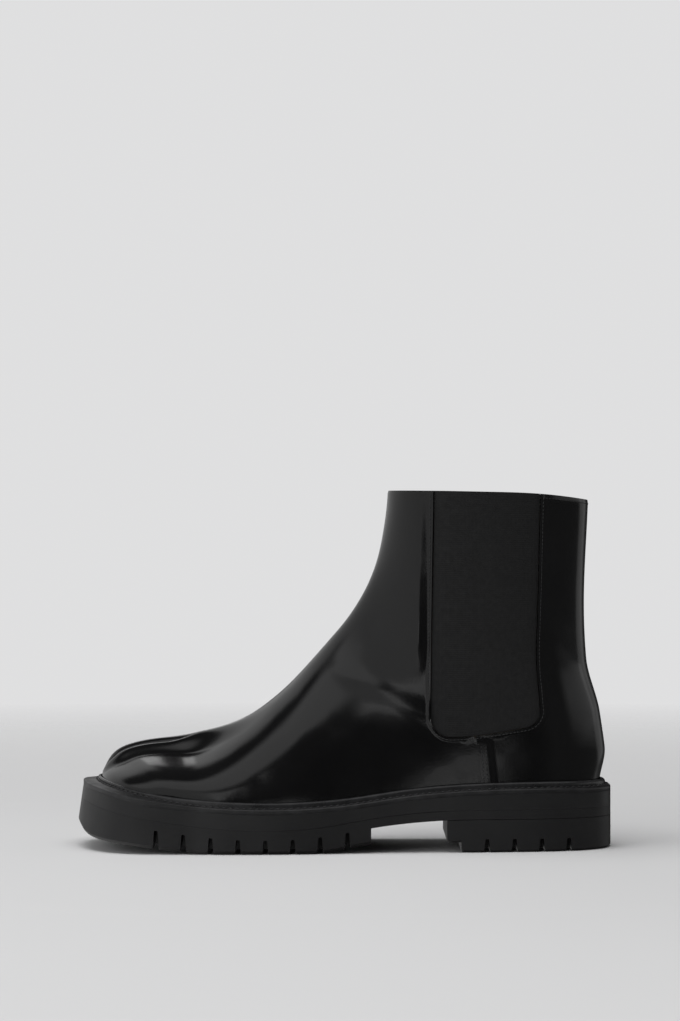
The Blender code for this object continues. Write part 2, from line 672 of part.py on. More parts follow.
def welt_section(x):
    z = GAP
    reach = float(welt_reach(x))
    return [(WELT_IN, z), (reach, z), (reach, z + WELT_THICK - 0.9), (reach - 0.5, z + WELT_THICK - 0.4),
            (BEAD_WIDE, z + WELT_THICK), (WELT_IN, z + WELT_THICK)]


def bead_section(x):
    z = WELT_THICK + 2 * GAP
    w, h = BEAD_WIDE, BEAD_TALL
    return [(WELT_IN, z), (w, z), (w, z + 0.45 * h), (0.8 * w, z + 0.85 * h), (0.45 * w, z + h),
            (WELT_IN, z + 0.8 * h)]


def make_welt(foot_outline, rand, bead):
    make_ring("welt", foot_outline, welt_section, rand)
    make_ring("storm_bead", foot_outline, bead_section, bead)


def midsole_section(outline):
    def section(x):
        lat, med = outline.sides(x)
        mid = (lat + med) / 2
        z0 = float(layer_foot(x)) + OUTSOLE_THICK + GAP
        z1 = float(midsole_top(x + SOLE_RAKE * lean(x) * 0.9))
        pull = min(CHAMFER, (med - lat) / 8)
        return [(lat, z0), (mid, z0), (med, z0), (med, z1 - CHAMFER), (med - pull, z1), (mid, z1),
                (lat + pull, z1), (lat, z1 - CHAMFER)]
    return section


FOREFOOT_NOTCHES = [FIRST_FOREFOOT_NOTCH + FOREFOOT_PITCH * i for i in range(8)]
HEEL_NOTCHES = [FIRST_HEEL_NOTCH + HEEL_PITCH * i for i in range(4)]
LUG_IN, CHANNEL = 15.0, 3.2


def tread_lines(notches, low, high):
    """x values across a tread, with the foot and root edges of every notch."""
    lines = []
    for centre in notches:
        for half in (NOTCH_FOOT / 2, NOTCH_TOP / 2):
            lines += [centre - half, centre + half]
    return [x for x in lines if low < x < high]


def in_notch(x, notches):
    """Whether x lies in the root of a notch."""
    return any(abs(x - centre) < NOTCH_TOP / 2 + 0.01 for centre in notches)


def tread_section(outline, notches, foot, root, top):
    """Section of a lugged layer: lugs along both edges, channels, and bars between them."""
    def section(x):
        lat, med = outline.sides(x)
        wide = med - lat
        shrink = min(1.0, wide / 60)
        low, high = float(foot(x)), float(root(x))
        edge = high if in_notch(x, notches) else low
        a, b = LUG_IN * shrink, (LUG_IN + CHANNEL) * shrink
        slope = 0.5 * shrink
        heights = [(1.2 * shrink, edge), (a, edge), (a + slope, high), (b, high), (b + slope, edge)]
        under = [(lat, edge + 1.2 * shrink)] + [(lat + d, z) for d, z in heights]
        under += [(med - d, z) for d, z in heights[::-1]] + [(med, edge + 1.2 * shrink)]
        z1 = float(top(x))
        return under + [(med, z1), ((lat + med) / 2, z1), (lat, z1)]
    return section


def make_sole(outline, midsole, outsole):
    """Midsole, full-length outsole with the forefoot's lugs, and heel block."""
    first, last = outline.ends()
    x = stations(first + 0.15, last - 0.15, 48)
    add_sections("midsole", x, midsole_section(outline), midsole, SOLE_RAKE)

    def layer_top(x):
        return layer_foot(x) + OUTSOLE_THICK

    def foot(x):
        return ground(x) if x < TREAD_END else layer_foot(x)

    lines = [v for v in x if v < FOREFOOT_NOTCHES[0] - NOTCH_FOOT or v > TREAD_END + 1]
    lines += tread_lines(FOREFOOT_NOTCHES, -150, TREAD_END - 1) + [TREAD_END - 0.05, TREAD_END + 0.05]
    lines = sorted(set(np.round(lines, 3)))
    section = tread_section(outline, FOREFOOT_NOTCHES, foot, layer_foot, layer_top)
    add_sections("outsole", lines, section, outsole, SOLE_RAKE)

    lines = [v for v in stations(HEEL_FRONT, last - 0.15, 20) if v > HEEL_NOTCHES[-1] + NOTCH_FOOT]
    lines += tread_lines(HEEL_NOTCHES, HEEL_FRONT + HEEL_STEP + 1, HEEL_NOTCHES[-1] + NOTCH_FOOT)
    lines += [HEEL_FRONT, HEEL_FRONT + HEEL_STEP, HEEL_FRONT + HEEL_STEP + 0.1]
    lines = sorted(set(np.round(lines, 3)))
    section = tread_section(outline, HEEL_NOTCHES, heel_foot, lambda x: HEEL_ROOT,
                            lambda x: layer_foot(x) - GAP)
    add_sections("heel_block", lines, section, outsole)


def heel_foot(x):
    """The heel's front lug stops short of the ground."""
    return HEEL_STEP_RISE if x < HEEL_FRONT + HEEL_STEP + 0.05 else 0.0


NAILS = [(78.0, -18.0), (78.0, 18.0), (104.0, -22.0), (104.0, 22.0), (128.0, 0.0)]


def nail_points(x, y, radius, foot, top, sides=12):
    turn = np.linspace(0, 2 * math.pi, sides, endpoint=False)
    ring = [(x + radius * math.cos(a), y + radius * math.sin(a)) for a in turn]
    points = [(px, py, foot) for px, py in ring] + [(px, py, top) for px, py in ring]
    faces = [tuple(range(sides)), tuple(range(sides, 2 * sides))]
    faces += [(i, (i + 1) % sides, sides + (i + 1) % sides, sides + i) for i in range(sides)]
    return points, faces


def make_nails(steel, guide):
    """Nails from the midsole down through the outsole into the heel block, and their holes."""
    middle = float(layer_foot(100.0)) + OUTSOLE_THICK / 2
    low, high = middle - NAIL_LONG / 2, middle + NAIL_LONG / 2
    points, faces = [], []
    for number, (x, y) in enumerate(NAILS, 1):
        own, sides = nail_points(x, y, NAIL_R, low, high)
        add_object(f"heel_nail_{number}", own, sides, steel)
        own, sides = nail_points(x, y, NAIL_R + GAP, low - GAP, high + GAP)
        faces += [tuple(i + len(points) for i in face) for face in sides]
        points += own
    drill = add_object("nail_drill", points, faces, guide)
    drill.hide_render = True
    drill.display_type = "WIRE"
    for name in ("midsole", "outsole", "heel_block"):
        cut = bpy.data.objects[name].modifiers.new("nail_holes", "BOOLEAN")
        cut.operation = "DIFFERENCE"
        cut.solver = "EXACT"
        cut.object = drill


def centre_plan():
    """Move everything so that the origin is under the middle of the boot's plan."""
    shapes = [o for o in bpy.data.objects if not o.hide_render]
    points = np.array([v.co[:2] for o in shapes for v in o.data.vertices])
    middle = (points.min(axis=0) + points.max(axis=0)) / 2
    for shape in bpy.data.objects:
        shape.data.transform(Matrix.Translation((-middle[0], -middle[1], 0)))


def main():
    for old in list(bpy.data.objects):
        bpy.data.objects.remove(old)
    leather = material("polished_black_leather", (0.018, 0.018, 0.019), 0.22)
    elastic = material("black_elastic", (0.02, 0.02, 0.021), 0.85)
    lining = material("lining_leather", (0.10, 0.095, 0.09), 0.6)
    board = material("fibre_board", (0.36, 0.27, 0.18), 0.8)
    foam = material("foam", (0.05, 0.05, 0.05), 0.9)
    cork = material("cork", (0.42, 0.28, 0.16), 0.9)
    steel = material("steel", (0.55, 0.56, 0.58), 0.35, 1.0)
    welt = material("black_welt", (0.03, 0.03, 0.031), 0.4)
    rubber = material("black_rubber", (0.028, 0.028, 0.03), 0.5)
    guide = material("guide", (1, 0, 0), 1.0)

    foot_outline = Outline(contour(feather_top))
    sole_outline = foot_outline.grown(welt_reach)
    make_vamp(leather, lining, board)
    make_quarter(leather, lining, board)
    make_gores(elastic)
    make_inner_bottom(Outline(contour(lambda x: midsole_top(x) + 4)), board, lining, foam, cork, steel)
    make_welt(foot_outline, welt, welt)
    make_sole(sole_outline, rubber, rubber)
    make_nails(steel, guide)
    centre_plan()


main()
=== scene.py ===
import math

import bmesh
import bpy
import numpy as np
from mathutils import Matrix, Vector


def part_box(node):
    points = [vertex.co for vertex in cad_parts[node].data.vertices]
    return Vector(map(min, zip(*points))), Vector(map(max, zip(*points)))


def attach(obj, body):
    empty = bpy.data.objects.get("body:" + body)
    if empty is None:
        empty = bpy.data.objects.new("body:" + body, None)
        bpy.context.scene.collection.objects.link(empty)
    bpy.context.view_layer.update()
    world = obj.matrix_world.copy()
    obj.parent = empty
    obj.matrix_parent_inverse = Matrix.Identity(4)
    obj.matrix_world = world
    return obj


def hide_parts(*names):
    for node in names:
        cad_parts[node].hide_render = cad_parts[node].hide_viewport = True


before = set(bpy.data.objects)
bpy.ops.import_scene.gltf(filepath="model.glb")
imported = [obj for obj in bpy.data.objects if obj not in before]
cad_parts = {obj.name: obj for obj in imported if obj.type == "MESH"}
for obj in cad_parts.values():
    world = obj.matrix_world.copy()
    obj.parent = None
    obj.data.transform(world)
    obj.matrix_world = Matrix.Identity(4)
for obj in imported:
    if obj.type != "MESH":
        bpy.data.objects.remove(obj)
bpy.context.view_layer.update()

MM = 0.001
NAIL_PLACE = np.array([128.0, 0.0])          # the rearmost heel nail, in the last's plan position
HEEL_NAIL = [np.array(corner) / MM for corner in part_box("heel_nail_5")]
SHIFT = np.append((HEEL_NAIL[0][:2] + HEEL_NAIL[1][:2]) / 2 - NAIL_PLACE, 0.0)


# ---- camera ----
CAMERA_PLACE, FOCAL_LENGTH = np.array([-1.96, -2000.0, 189.0]), 124.8


def make_camera():
    """Level camera at the height of the top line, looking at the outer side."""
    data = bpy.data.cameras.new("camera")
    data.sensor_width = 36.0
    data.lens = FOCAL_LENGTH
    data.clip_end = 100.0
    made = bpy.data.objects.new("camera", data)
    made.location = (CAMERA_PLACE + SHIFT) * MM
    made.rotation_euler = (math.radians(90), 0, 0)
    bpy.context.scene.collection.objects.link(made)
    bpy.context.scene.camera = made


make_camera()

# ---- the last, as the CAD source has it ----
LEATHER, LINING, ELASTIC = 1.6, 1.0, 1.8
ELASTIC_DEPTH = 0.95                         # the elastic's ribs lie this far below the last
STIFFENER_SPACE = 1.7
CLEFT_DEPTH, CLEFT_ROUND, OUTER_TOES_LOWER = 11.0, 9.0, 9.5
HEEL_BULGE, HEEL_BULGE_FOOT, HEEL_BULGE_TOP = 3.9, 36.0, 106.0
WELT_SIDE, WELT_TOE, WELT_HEEL = 6.4, 15.5, 6.2
WELT_THICK, BEAD_WIDE, BEAD_TALL, SOLE_GAP = 3.0, 3.2, 2.8, 0.3
OUTSOLE_THICK = 5.2
HEEL_FRONT, HEEL_STEP, HEEL_STEP_RISE, HEEL_ROOT = 57.3, 7.7, 5.4, 7.2
TREAD_END, TREAD_LIFT, SOLE_RAKE, RAKE_DEPTH = 15.2, 4.6, 5.5, 38
NOTCH_TOP, NOTCH_FOOT = 2.0, 3.4
FOREFOOT_PITCH, HEEL_PITCH = 15.05, 15.25
FOREFOOT_NOTCHES = [-103.2 + FOREFOOT_PITCH * i for i in range(8)]
HEEL_NOTCHES = [79.5 + HEEL_PITCH * i for i in range(4)]

# Sections: ridge (x, z), middle (x, z), outer y, inner y, ridge y, pinches.
SECTIONS = np.array([
    (-137.0, 34.6, -84.0, 24.7, -46.0, 46.0, 13.0, -0.25, -0.25, -0.30),
    (-136.6, 43.2, -84.0, 25.4, -47.0, 46.0, 13.0, -0.15, -0.15, -0.30),
    (-133.5, 50.2, -84.0, 26.0, -48.0, 46.0, 13.0, -0.02, -0.05, -0.30),
    (-122.0, 57.2, -82.0, 27.0, -49.0, 45.0, 13.0, 0.10, 0.00, -0.30),
    (-100.0, 61.0, -77.0, 27.0, -50.0, 45.0, 12.0, 0.18, 0.00, -0.30),
    (-78.0, 64.4, -68.0, 26.0, -51.0, 45.0, 10.0, 0.18, 0.00, -0.30),
    (-58.5, 70.6, -56.0, 26.0, -51.0, 44.0, 8.0, 0.14, 0.00, -0.30),
    (-41.0, 81.7, -38.0, 28.0, -50.0, 40.0, 6.0, 0.10, 0.02, -0.30),
    (-24.0, 97.8, -8.0, 32.0, -46.0, 35.0, 4.0, 0.08, 0.05, -0.30),
    (-7.7, 116.2, 32.0, 42.0, -40.0, 33.0, 2.0, 0.06, 0.06, -0.30),
    (4.5, 131.4, 68.0, 67.0, -37.0, 34.0, 0.5, 0.06, 0.06, -0.35),
    (12.5, 144.8, 78.5, 91.0, -35.5, 34.0, 0.0, 0.04, 0.04, -0.30),
    (18.6, 159.6, 79.2, 121.0, -35.2, 34.3, 0.0, 0.02, 0.02, -0.20),
    (22.6, 176.2, 79.2, 155.1, -36.2, 35.7, 0.0, 0.00, 0.00, -0.12),
    (25.2, 193.2, 81.3, 186.1, -37.5, 37.5, 0.0, 0.00, 0.00, -0.10),
    (26.2, 212.2, 82.4, 210.1, -38.2, 38.2, 0.0, 0.00, 0.00, -0.10),
])
FEATHER = np.array([(-150, 41.0), (-137, 39.2), (-120, 35.6), (-102, 32.1), (-80, 29.7), (-57, 28.3),
                    (-38, 28.0), (-19, 28.6), (4, 30.5), (31, 34.3), (59, 37.0), (87, 38.2),
                    (115, 38.5), (150, 38.2)])
LAYER = np.array([(-152, 22.0), (-130, 17.5), (-105, 13.3), (-75, 9.2), (-44, 7.6), (-14, 9.0),
                  (15.5, 13.6), (37, 16.2), (58.5, 17.6), (85, 18.0), (150, 18.0)])
FLAT_FROM = -70.0
GROUND = np.array([(-152, 13.5), (-147, 9.6), (-141, 7.3), (-135, 6.3), (-128, 5.5), (-118, 4.4),
                   (-106, 2.9), (-90, 1.3), (-78, 0.3), (FLAT_FROM, 0.0)])
TOP_LINE = np.array([(20, 200.2), (50, 200.0), (80, 199.4), (111, 198.2), (128, 196.4), (145, 194.0)])
GORE_LEFT, GORE_RIGHT = 48.4, 109.5
GORE_FRONT = np.array([(50, GORE_LEFT), (74, GORE_LEFT), (120, 49.0), (205, 50.2)])
GORE_REAR = np.array([(50, GORE_RIGHT), (80, 109.3), (103, 107.4), (128, 107.8), (160, 108.7),
                      (205, 109.7)])
GORE_FOOT = np.array([(45, 62.8), (62, 63.2), (77, 64.4), (92, 66.7), (115, 70.3)])
GORE_FRONT_ROUND, GORE_REAR_ROUND = 12.0, 8.0
SEAM = np.array([(30.0, 77.2), (64.0, 73.5)])
EDGE_GAP = 0.25                              # leather's edge to the gore's outline
GORE_INSET = 0.1                             # the elastic ends just short of the leather's edge
BENDS = {}


def bends(table):
    """Second derivatives at the knots of the smooth curve through table, worked out once."""
    if id(table) not in BENDS:
        step = np.diff(table[:, 0])
        slope = np.diff(table[:, 1:], axis=0) / step[:, None]
        system, right = np.eye(len(table)), np.zeros_like(table[:, 1:])
        for i in range(1, len(table) - 1):
            system[i, i - 1:i + 2] = step[i - 1], 2 * (step[i - 1] + step[i]), step[i]
            right[i] = 6 * (slope[i] - slope[i - 1])
        BENDS[id(table)] = np.linalg.solve(system, right)
    return BENDS[id(table)]


def spline(table, at):
    """Smooth curve through the rows of table, whose first column is the parameter."""
    knots, values, bend = table[:, 0], table[:, 1:], bends(table)
    at = np.clip(np.asarray(at, float), knots[0], knots[-1])
    i = np.clip(np.searchsorted(knots, at) - 1, 0, len(knots) - 2)
    step = knots[i + 1] - knots[i]
    a = ((knots[i + 1] - at) / step)[..., None]
    b = 1 - a
    cubic = (a ** 3 - a) * bend[i] + (b ** 3 - b) * bend[i + 1]
    return a * values[i] + b * values[i + 1] + cubic * (step ** 2)[..., None] / 6


def curve(table, at):
    return spline(table, at)[..., 0]


def ease(t):
    t = np.clip(t, 0, 1)
    return t * t * (3 - 2 * t)


def midsole_top(x):
    return curve(FEATHER, x) - BEAD_TALL - WELT_THICK - 2 * SOLE_GAP


def upper_foot(x):
    return midsole_top(x) + 1.08


def ground(x):
    """Ground line: flat under the ball, lifting at the toe and at the back of the tread."""
    back = TREAD_LIFT * ease((np.asarray(x, float) + 16) / 34)
    return np.where(np.asarray(x) < FLAT_FROM, curve(GROUND, x), back)


def with_parameter(rows):
    """Put each section's parameter, 0 to 1, in front of it."""
    moved = np.diff(rows[:, :4], axis=0)
    along = np.concatenate([[0], np.cumsum(np.hypot(moved[:, 0], moved[:, 1])
                                           + np.hypot(moved[:, 2], moved[:, 3]))])
    return np.column_stack([along / along[-1], rows])


FAN = with_parameter(SECTIONS)


def skin(s, q):
    """Point on the outside: s picks the section, q the angle round it, from the ridge at 0 down
    the outer side to pi at the back line, and down the inner side to -pi."""
    s, q = np.broadcast_arrays(np.asarray(s, float), np.asarray(q, float))
    row = spline(FAN, s)
    ridge, middle = row[..., 0:2], row[..., 2:4]
    outer, inner, centre = row[..., 4], row[..., 5], row[..., 6]
    cosine, sine = np.cos(q), np.sin(np.abs(q))
    point = ridge + (middle - ridge) * (1 - cosine)[..., None]
    near = np.where(q > 0, row[..., 7], row[..., 8])
    pinch = near * (1 + cosine) / 2 + row[..., 9] * (1 - cosine) / 2
    reach = np.where(q > 0, outer - centre, inner - centre)
    aside = reach * sine * (1 - pinch * cosine ** 2)
    inward = (middle - ridge) / np.linalg.norm(middle - ridge, axis=-1)[..., None]
    point = point + inward * toe_drop(ridge, aside, q)[..., None]
    swell = ease((HEEL_BULGE_TOP - point[..., 1]) / 30) * ease((point[..., 1] - HEEL_BULGE_FOOT) / 20)
    back = point[..., 0] + HEEL_BULGE * swell * ((1 - cosine) / 2) ** 12
    return np.stack([back, centre + aside, point[..., 1]], axis=-1)


def toe_drop(ridge, aside, q):
    """How far the toe's surface sinks: the fold between the toes, and the lower outer toes."""
    away = np.clip(1 - np.abs(aside) / CLEFT_ROUND, 0, 1)
    fold = 1 - np.sqrt(1 - away ** 2)
    reach = ease((-80 - ridge[..., 0]) / 26) * ease((ridge[..., 1] - 40) / 12)
    spread_over = 15 + 8 * ease((ridge[..., 0] + 100) / 40)
    lower = ease(-aside / spread_over) * ease((1.5 - q) / 1.2)
    length = ease((-38 - ridge[..., 0]) / 60) * ease((ridge[..., 1] - 38) / 16)
    return CLEFT_DEPTH * fold * reach + OUTER_TOES_LOWER * lower * length


def normal(s, q, dq=0.02):
    """Direction out of the surface, averaged over a small stretch so that the fold has one too."""
    ds = 1e-4
    along = skin(np.minimum(s + ds, 1), q) - skin(np.maximum(s - ds, 0), q)
    around = skin(s, q + dq) - skin(s, q - dq)
    out = np.cross(around, along)
    return out / np.linalg.norm(out, axis=-1)[..., None]


def locate(x, z):
    """The section parameter and angle of a point seen from the side."""
    x, z = np.broadcast_arrays(np.asarray(x, float), np.asarray(z, float))
    low, high = np.zeros_like(x), np.ones_like(x)
    for _ in range(40):
        mid = (low + high) / 2
        row = spline(FAN, mid)
        run = 2 * (row[..., 2:4] - row[..., 0:2])
        turn = run[..., 0] * (z - row[..., 1]) - run[..., 1] * (x - row[..., 0])
        low, high = np.where(turn > 0, mid, low), np.where(turn > 0, high, mid)
    row = spline(FAN, low)
    run = 2 * (row[..., 2:4] - row[..., 0:2])
    part = (x - row[..., 0]) * run[..., 0] + (z - row[..., 1]) * run[..., 1]
    part /= np.sum(run * run, axis=-1)
    return low, np.arccos(np.clip(1 - 2 * part, -1, 1)), part


def gore_foot(x):
    """Lower edge of the elastic, with its two round corners."""
    lift_front = np.clip(1 - (x - GORE_LEFT) / GORE_FRONT_ROUND, 0, 1)
    lift_rear = np.clip(1 - (GORE_RIGHT - x) / GORE_REAR_ROUND, 0, 1)
    return (curve(GORE_FOOT, x) + GORE_FRONT_ROUND * (1 - np.sqrt(1 - lift_front ** 2))
            + GORE_REAR_ROUND * (1 - np.sqrt(1 - lift_rear ** 2)))


def in_gore(x, z, wider=0.0):
    ahead = x > curve(GORE_FRONT, z) - wider
    behind = x < curve(GORE_REAR, z) + wider
    return ahead & behind & (z > gore_foot(np.clip(x, GORE_LEFT, GORE_RIGHT)) - wider)


def first_past(test, start, end, steps=90):
    """First parameter between start and end where test becomes true."""
    trial = np.linspace(start, end, steps)
    hits = np.nonzero(test(trial))[0]
    if len(hits) == 0:
        return end
    k = max(hits[0], 1)
    low, high = trial[k - 1], trial[k]
    for _ in range(24):
        mid = (low + high) / 2
        if test(np.array([mid]))[0]:
            high = mid
        else:
            low = mid
    return low


# ---- grids over the panels ----
VAMP_TOE_ROWS, VAMP_SHAFT_ROWS, VAMP_HALF = 110, 60, 76
QUARTER_HALF = 64


def spread(half, near=1.5, far=1.6):
    """Numbers from -1 to 1, closer together near 0 and near both ends."""
    u = np.linspace(0, 1, half + 1)
    line = (1 - (1 - u) ** far) ** near
    return np.concatenate([-line[:0:-1], line])


def past_vamp(point):
    x, z = point[..., 0], point[..., 2]
    return (x > curve(SEAM, z)) | in_gore(x, z, EDGE_GAP) | (z < upper_foot(x))


def rear_edge():
    """The vamp's edge from the foot, up the seam, forward under the elastic and up its front:
    x, z, and how far the row that ends there dips to pass below the elastic's corner."""
    seam_foot, corner = float(curve(SEAM, 31.0)), 62.0
    x = np.linspace(30.0, seam_foot, 16)
    foot = np.column_stack([x, upper_foot(x), np.interp(x, [30, 54, seam_foot], [0, 3, 14])])
    z = np.linspace(float(upper_foot(seam_foot)), corner, 18)[1:]
    seam = np.column_stack([curve(SEAM, z), z, np.interp(z, [z[0], 47, corner], [16, 34, 50])])
    x = np.linspace(float(curve(SEAM, corner)), GORE_LEFT + GORE_FRONT_ROUND, 9)[1:]
    under = np.column_stack([x, gore_foot(x) - EDGE_GAP, np.interp(-x, [-73.5, -60.4], [50, 44])])
    turn = np.linspace(0, math.pi / 2, 16)[1:]
    round_x = GORE_LEFT + GORE_FRONT_ROUND * (1 - np.sin(turn)) - EDGE_GAP * np.sin(turn)
    round_z = curve(GORE_FOOT, round_x) + GORE_FRONT_ROUND * (1 - np.cos(turn)) - EDGE_GAP * np.cos(turn)
    dip = np.interp(turn, [0, 0.52, 0.93, 1.27, 1.57], [44, 34, 24, 14, 6])
    bend = np.column_stack([round_x, round_z, dip])
    z = np.linspace(round_z[-1], 86.0, 9)[1:]
    dip = np.interp(z, [round_z[-1], 86.0], [6, 0])
    front = np.column_stack([curve(GORE_FRONT, z) - EDGE_GAP, z, dip])
    return np.concatenate([foot, seam, under, bend, front])


def dipping_row(fractions, s_ridge, end, dip):
    """Section parameters and angles along a row that dips between the ridge and its end."""
    start = spline(FAN, s_ridge)[:2]
    turn = float(locate(end[0], end[1])[1])
    part = ((1 - np.cos(fractions * turn)) / (1 - math.cos(turn)))[:, None]
    middle = (start + end) / 2 - np.array([0.0, dip])
    path = (1 - part) ** 2 * start + 2 * part * (1 - part) * middle + part ** 2 * end
    s, q, _ = locate(path[:, 0], path[:, 1])
    return np.where(fractions == 0, s_ridge, s), np.where(fractions == 0, 0.0, q * np.sign(fractions))


def at_height(q, guess, below=0.0):
    """Section parameter where the surface at angle q is below under the top line."""
    low, high = np.full_like(q, guess - 0.1), np.ones_like(q)
    for _ in range(40):
        mid = (low + high) / 2
        point = skin(mid, q)
        under = point[..., 2] < curve(TOP_LINE, point[..., 0]) - below
        low, high = np.where(under, mid, low), np.where(under, high, mid)
    return low


def vamp_grid():
    """Section parameters and angles over the vamp, from the toe's foot up to the top line."""
    fractions = spread(VAMP_HALF)
    edge = rear_edge()
    first, last = (float(locate(*edge[k, :2])[0]) for k in (0, -1))
    top = float(locate(25.6, curve(TOP_LINE, 25.6))[0])
    s_grid, q_grid = [], []
    for s in np.linspace(0, first, VAMP_TOE_ROWS, endpoint=False):
        turn = first_past(lambda q: past_vamp(skin(s, q)), 0.0, math.pi)
        s_grid.append(np.full(len(fractions), s))
        q_grid.append(fractions * turn)
    for s, (x, z, dip) in zip(np.linspace(first, last, len(edge)), edge):
        row = dipping_row(fractions, s, np.array([x, z]), dip)
        s_grid.append(row[0])
        q_grid.append(row[1])
    for s in np.linspace(last, top, VAMP_SHAFT_ROWS)[1:]:
        turn = first_past(lambda q: past_vamp(skin(s, q)), 0.0, math.pi)
        lift = ease((s - last) / (top - last) * 2.5 - 1.5)
        q = fractions * turn
        s_grid.append(s + lift * (at_height(q, top) - top))
        q_grid.append(q)
    return np.array(s_grid), np.array(q_grid)


def back_x(level):
    """x of the back line where it crosses the height level(x)."""
    low, high = 100.0, 165.0
    for _ in range(30):
        mid = (low + high) / 2
        inside = locate(mid, level(mid))[2] < 1
        low, high = (mid, high) if inside else (low, mid)
    return low


def past_quarter(x, z):
    return (x < curve(SEAM, z)) | in_gore(x, z, EDGE_GAP)


def quarter_levels():
    """Heights of the quarter's rows as functions of x, close together beside the elastic's foot."""
    corner = float(gore_foot(curve(SEAM, 63.0))) - EDGE_GAP
    lower = [lambda x, m=m: upper_foot(x) + (corner - upper_foot(x)) * m
             for m in np.linspace(0, 1, 24)[:-1]]
    start = corner + 14.0
    heights = np.linspace(corner, start, 26)[:-1]
    beside = [lambda x, h=h: h + 0 * np.asarray(x, float) for h in heights]
    upper = [lambda x, m=m: start + (curve(TOP_LINE, x) - start) * m for m in np.linspace(0, 1, 64)]
    return lower + beside + upper


def quarter_grid():
    """Section parameters and angles over the rear quarter, round the heel, row by row."""
    u = np.linspace(0, 1, QUARTER_HALF + 1)
    turn = np.sin(u * math.pi / 2) ** 1.35
    s_grid, q_grid = [], []
    for level in quarter_levels():
        back = back_x(level)
        ahead = first_past(lambda x: past_quarter(x, level(x)), back - 0.5, 40.0)
        x = ahead + (back - ahead) * turn
        s, q, _ = locate(x, level(x))
        q[-1] = math.pi
        s_grid.append(np.concatenate([s, s[-2::-1]]))
        q_grid.append(np.concatenate([q, 2 * math.pi - q[-2::-1]]))
    return np.array(s_grid), np.array(q_grid)


def fold_angle(q):
    """Angles past the back line, up to 2 pi, as angles down the inner side."""
    return np.where(q > math.pi, q - 2 * math.pi, q)


RIB_PITCH, RIB_HEIGHT, RIB_STEPS = 1.15, 0.16, 6
GORE_TALL, GORE_COLUMNS = 137.0, 44


def gore_grid(rows, side):
    """Section parameters and angles over one elastic panel; side is 1 outer, -1 inner."""
    turn = (1 - np.cos(np.linspace(0, math.pi, GORE_COLUMNS + 1))) / 2
    v = np.linspace(0, 1, rows + 1)[:, None]
    x = np.broadcast_to(GORE_LEFT + GORE_INSET + (GORE_RIGHT - GORE_LEFT - 2 * GORE_INSET) * turn,
                        (rows + 1, len(turn)))
    for _ in range(8):
        foot = gore_foot(x)
        z = foot + GORE_INSET + (curve(TOP_LINE, x) - foot - GORE_INSET) * v
        front, rear = curve(GORE_FRONT, z) + GORE_INSET, curve(GORE_REAR, z) - GORE_INSET
        x = front + (rear - front) * turn
    s, q, _ = locate(x, z)
    return s, side * q


# ---- how the leather lies over the last ----
# Soft folds of the worn-in instep and ankle: start (x, z), end (x, z), width, height.
FOLDS = [
    (-2.0, 99.0, 48.0, 75.0, 5.5, 0.75),
    (16.0, 126.0, 10.0, 92.0, 5.0, -0.60),
    (-14.0, 62.0, -3.0, 72.0, 9.0, -0.55),
    (-44.0, 40.0, -24.0, 52.0, 9.0, -0.50),
    (-20.0, 86.0, 14.0, 58.0, 8.0, 0.40),
    (-58.0, 58.0, -30.0, 66.0, 9.0, 0.25),
]
SWELL = 2.2                                  # the leather swells a little in front of the elastic


def from_segment(x, z, ends):
    """Distance to a segment seen from the side."""
    x0, z0, x1, z1 = ends
    run = math.hypot(x1 - x0, z1 - z0)
    ux, uz = (x1 - x0) / run, (z1 - z0) / run
    held = np.clip(((x - x0) * ux + (z - z0) * uz) / run, 0, 1)
    return np.hypot(x - x0 - held * run * ux, z - z0 - held * run * uz)


def folds(point):
    """Height of the soft folds at points, fading out at the edges of the sheet."""
    x, z = point[..., 0], point[..., 2]
    lift = np.zeros_like(x)
    for *ends, width, height in FOLDS:
        lift += height * np.exp(-(from_segment(x, z, ends) / width) ** 2)
    lift += 0.10 * np.sin(x / 9.0 + 1.3 * np.sin(z / 13.0)) * np.sin(z / 11.0 + 0.4)
    beside = GORE_LEFT - x
    lift += SWELL * ease(beside / 7) * ease((31 - beside) / 24) * ease((z - 95) / 22)
    return lift * ease((z - upper_foot(x) - 6) / 12)


def folded_edge(point):
    """Leather turned under along the elastic stands a little proud."""
    return 0.26 * ease((2.6 - gore_distance(point[..., 0], point[..., 2])) / 1.2)


def gore_distance(x, z):
    """Distance to the gore's outline, seen from the side."""
    line = gore_path(0.0)
    far = np.full(x.shape, 99.0)
    for (x0, z0), (x1, z1) in zip(line[:-1], line[1:]):
        far = np.minimum(far, from_segment(x, z, (x0, z0, x1, z1)))
    return far


def lap(point):
    """The quarter laps over the vamp at the side seam."""
    return 0.5 * ease((curve(SEAM, point[..., 2]) + 9 - point[..., 0]) / 3.5)


def top_roll(point):
    """The upper's edge is turned in at the top line."""
    return -0.35 * ease((point[..., 2] - curve(TOP_LINE, point[..., 0]) + 1.4) / 1.4)


def lining_depth(point):
    """Depth of the lining's outer face: deeper over a stiffener and under the fold of the toe,
    and close behind the leather along the top line."""
    x, y, z = point[..., 0], point[..., 1], point[..., 2]
    toe = ease((-44 - x) / 12)
    heel = ease((x - 81) / 8) * ease((120 - z) / 18)
    fold = ease(1 - np.abs(y - 12) / 8) * ease((-66 - x) / 14) * ease((z - 42) / 6)
    behind = 0.9 - 0.8 * ease((z - curve(TOP_LINE, x) + 24) / 20)
    return LEATHER + behind + STIFFENER_SPACE * np.maximum(toe, heel) + 1.5 * fold


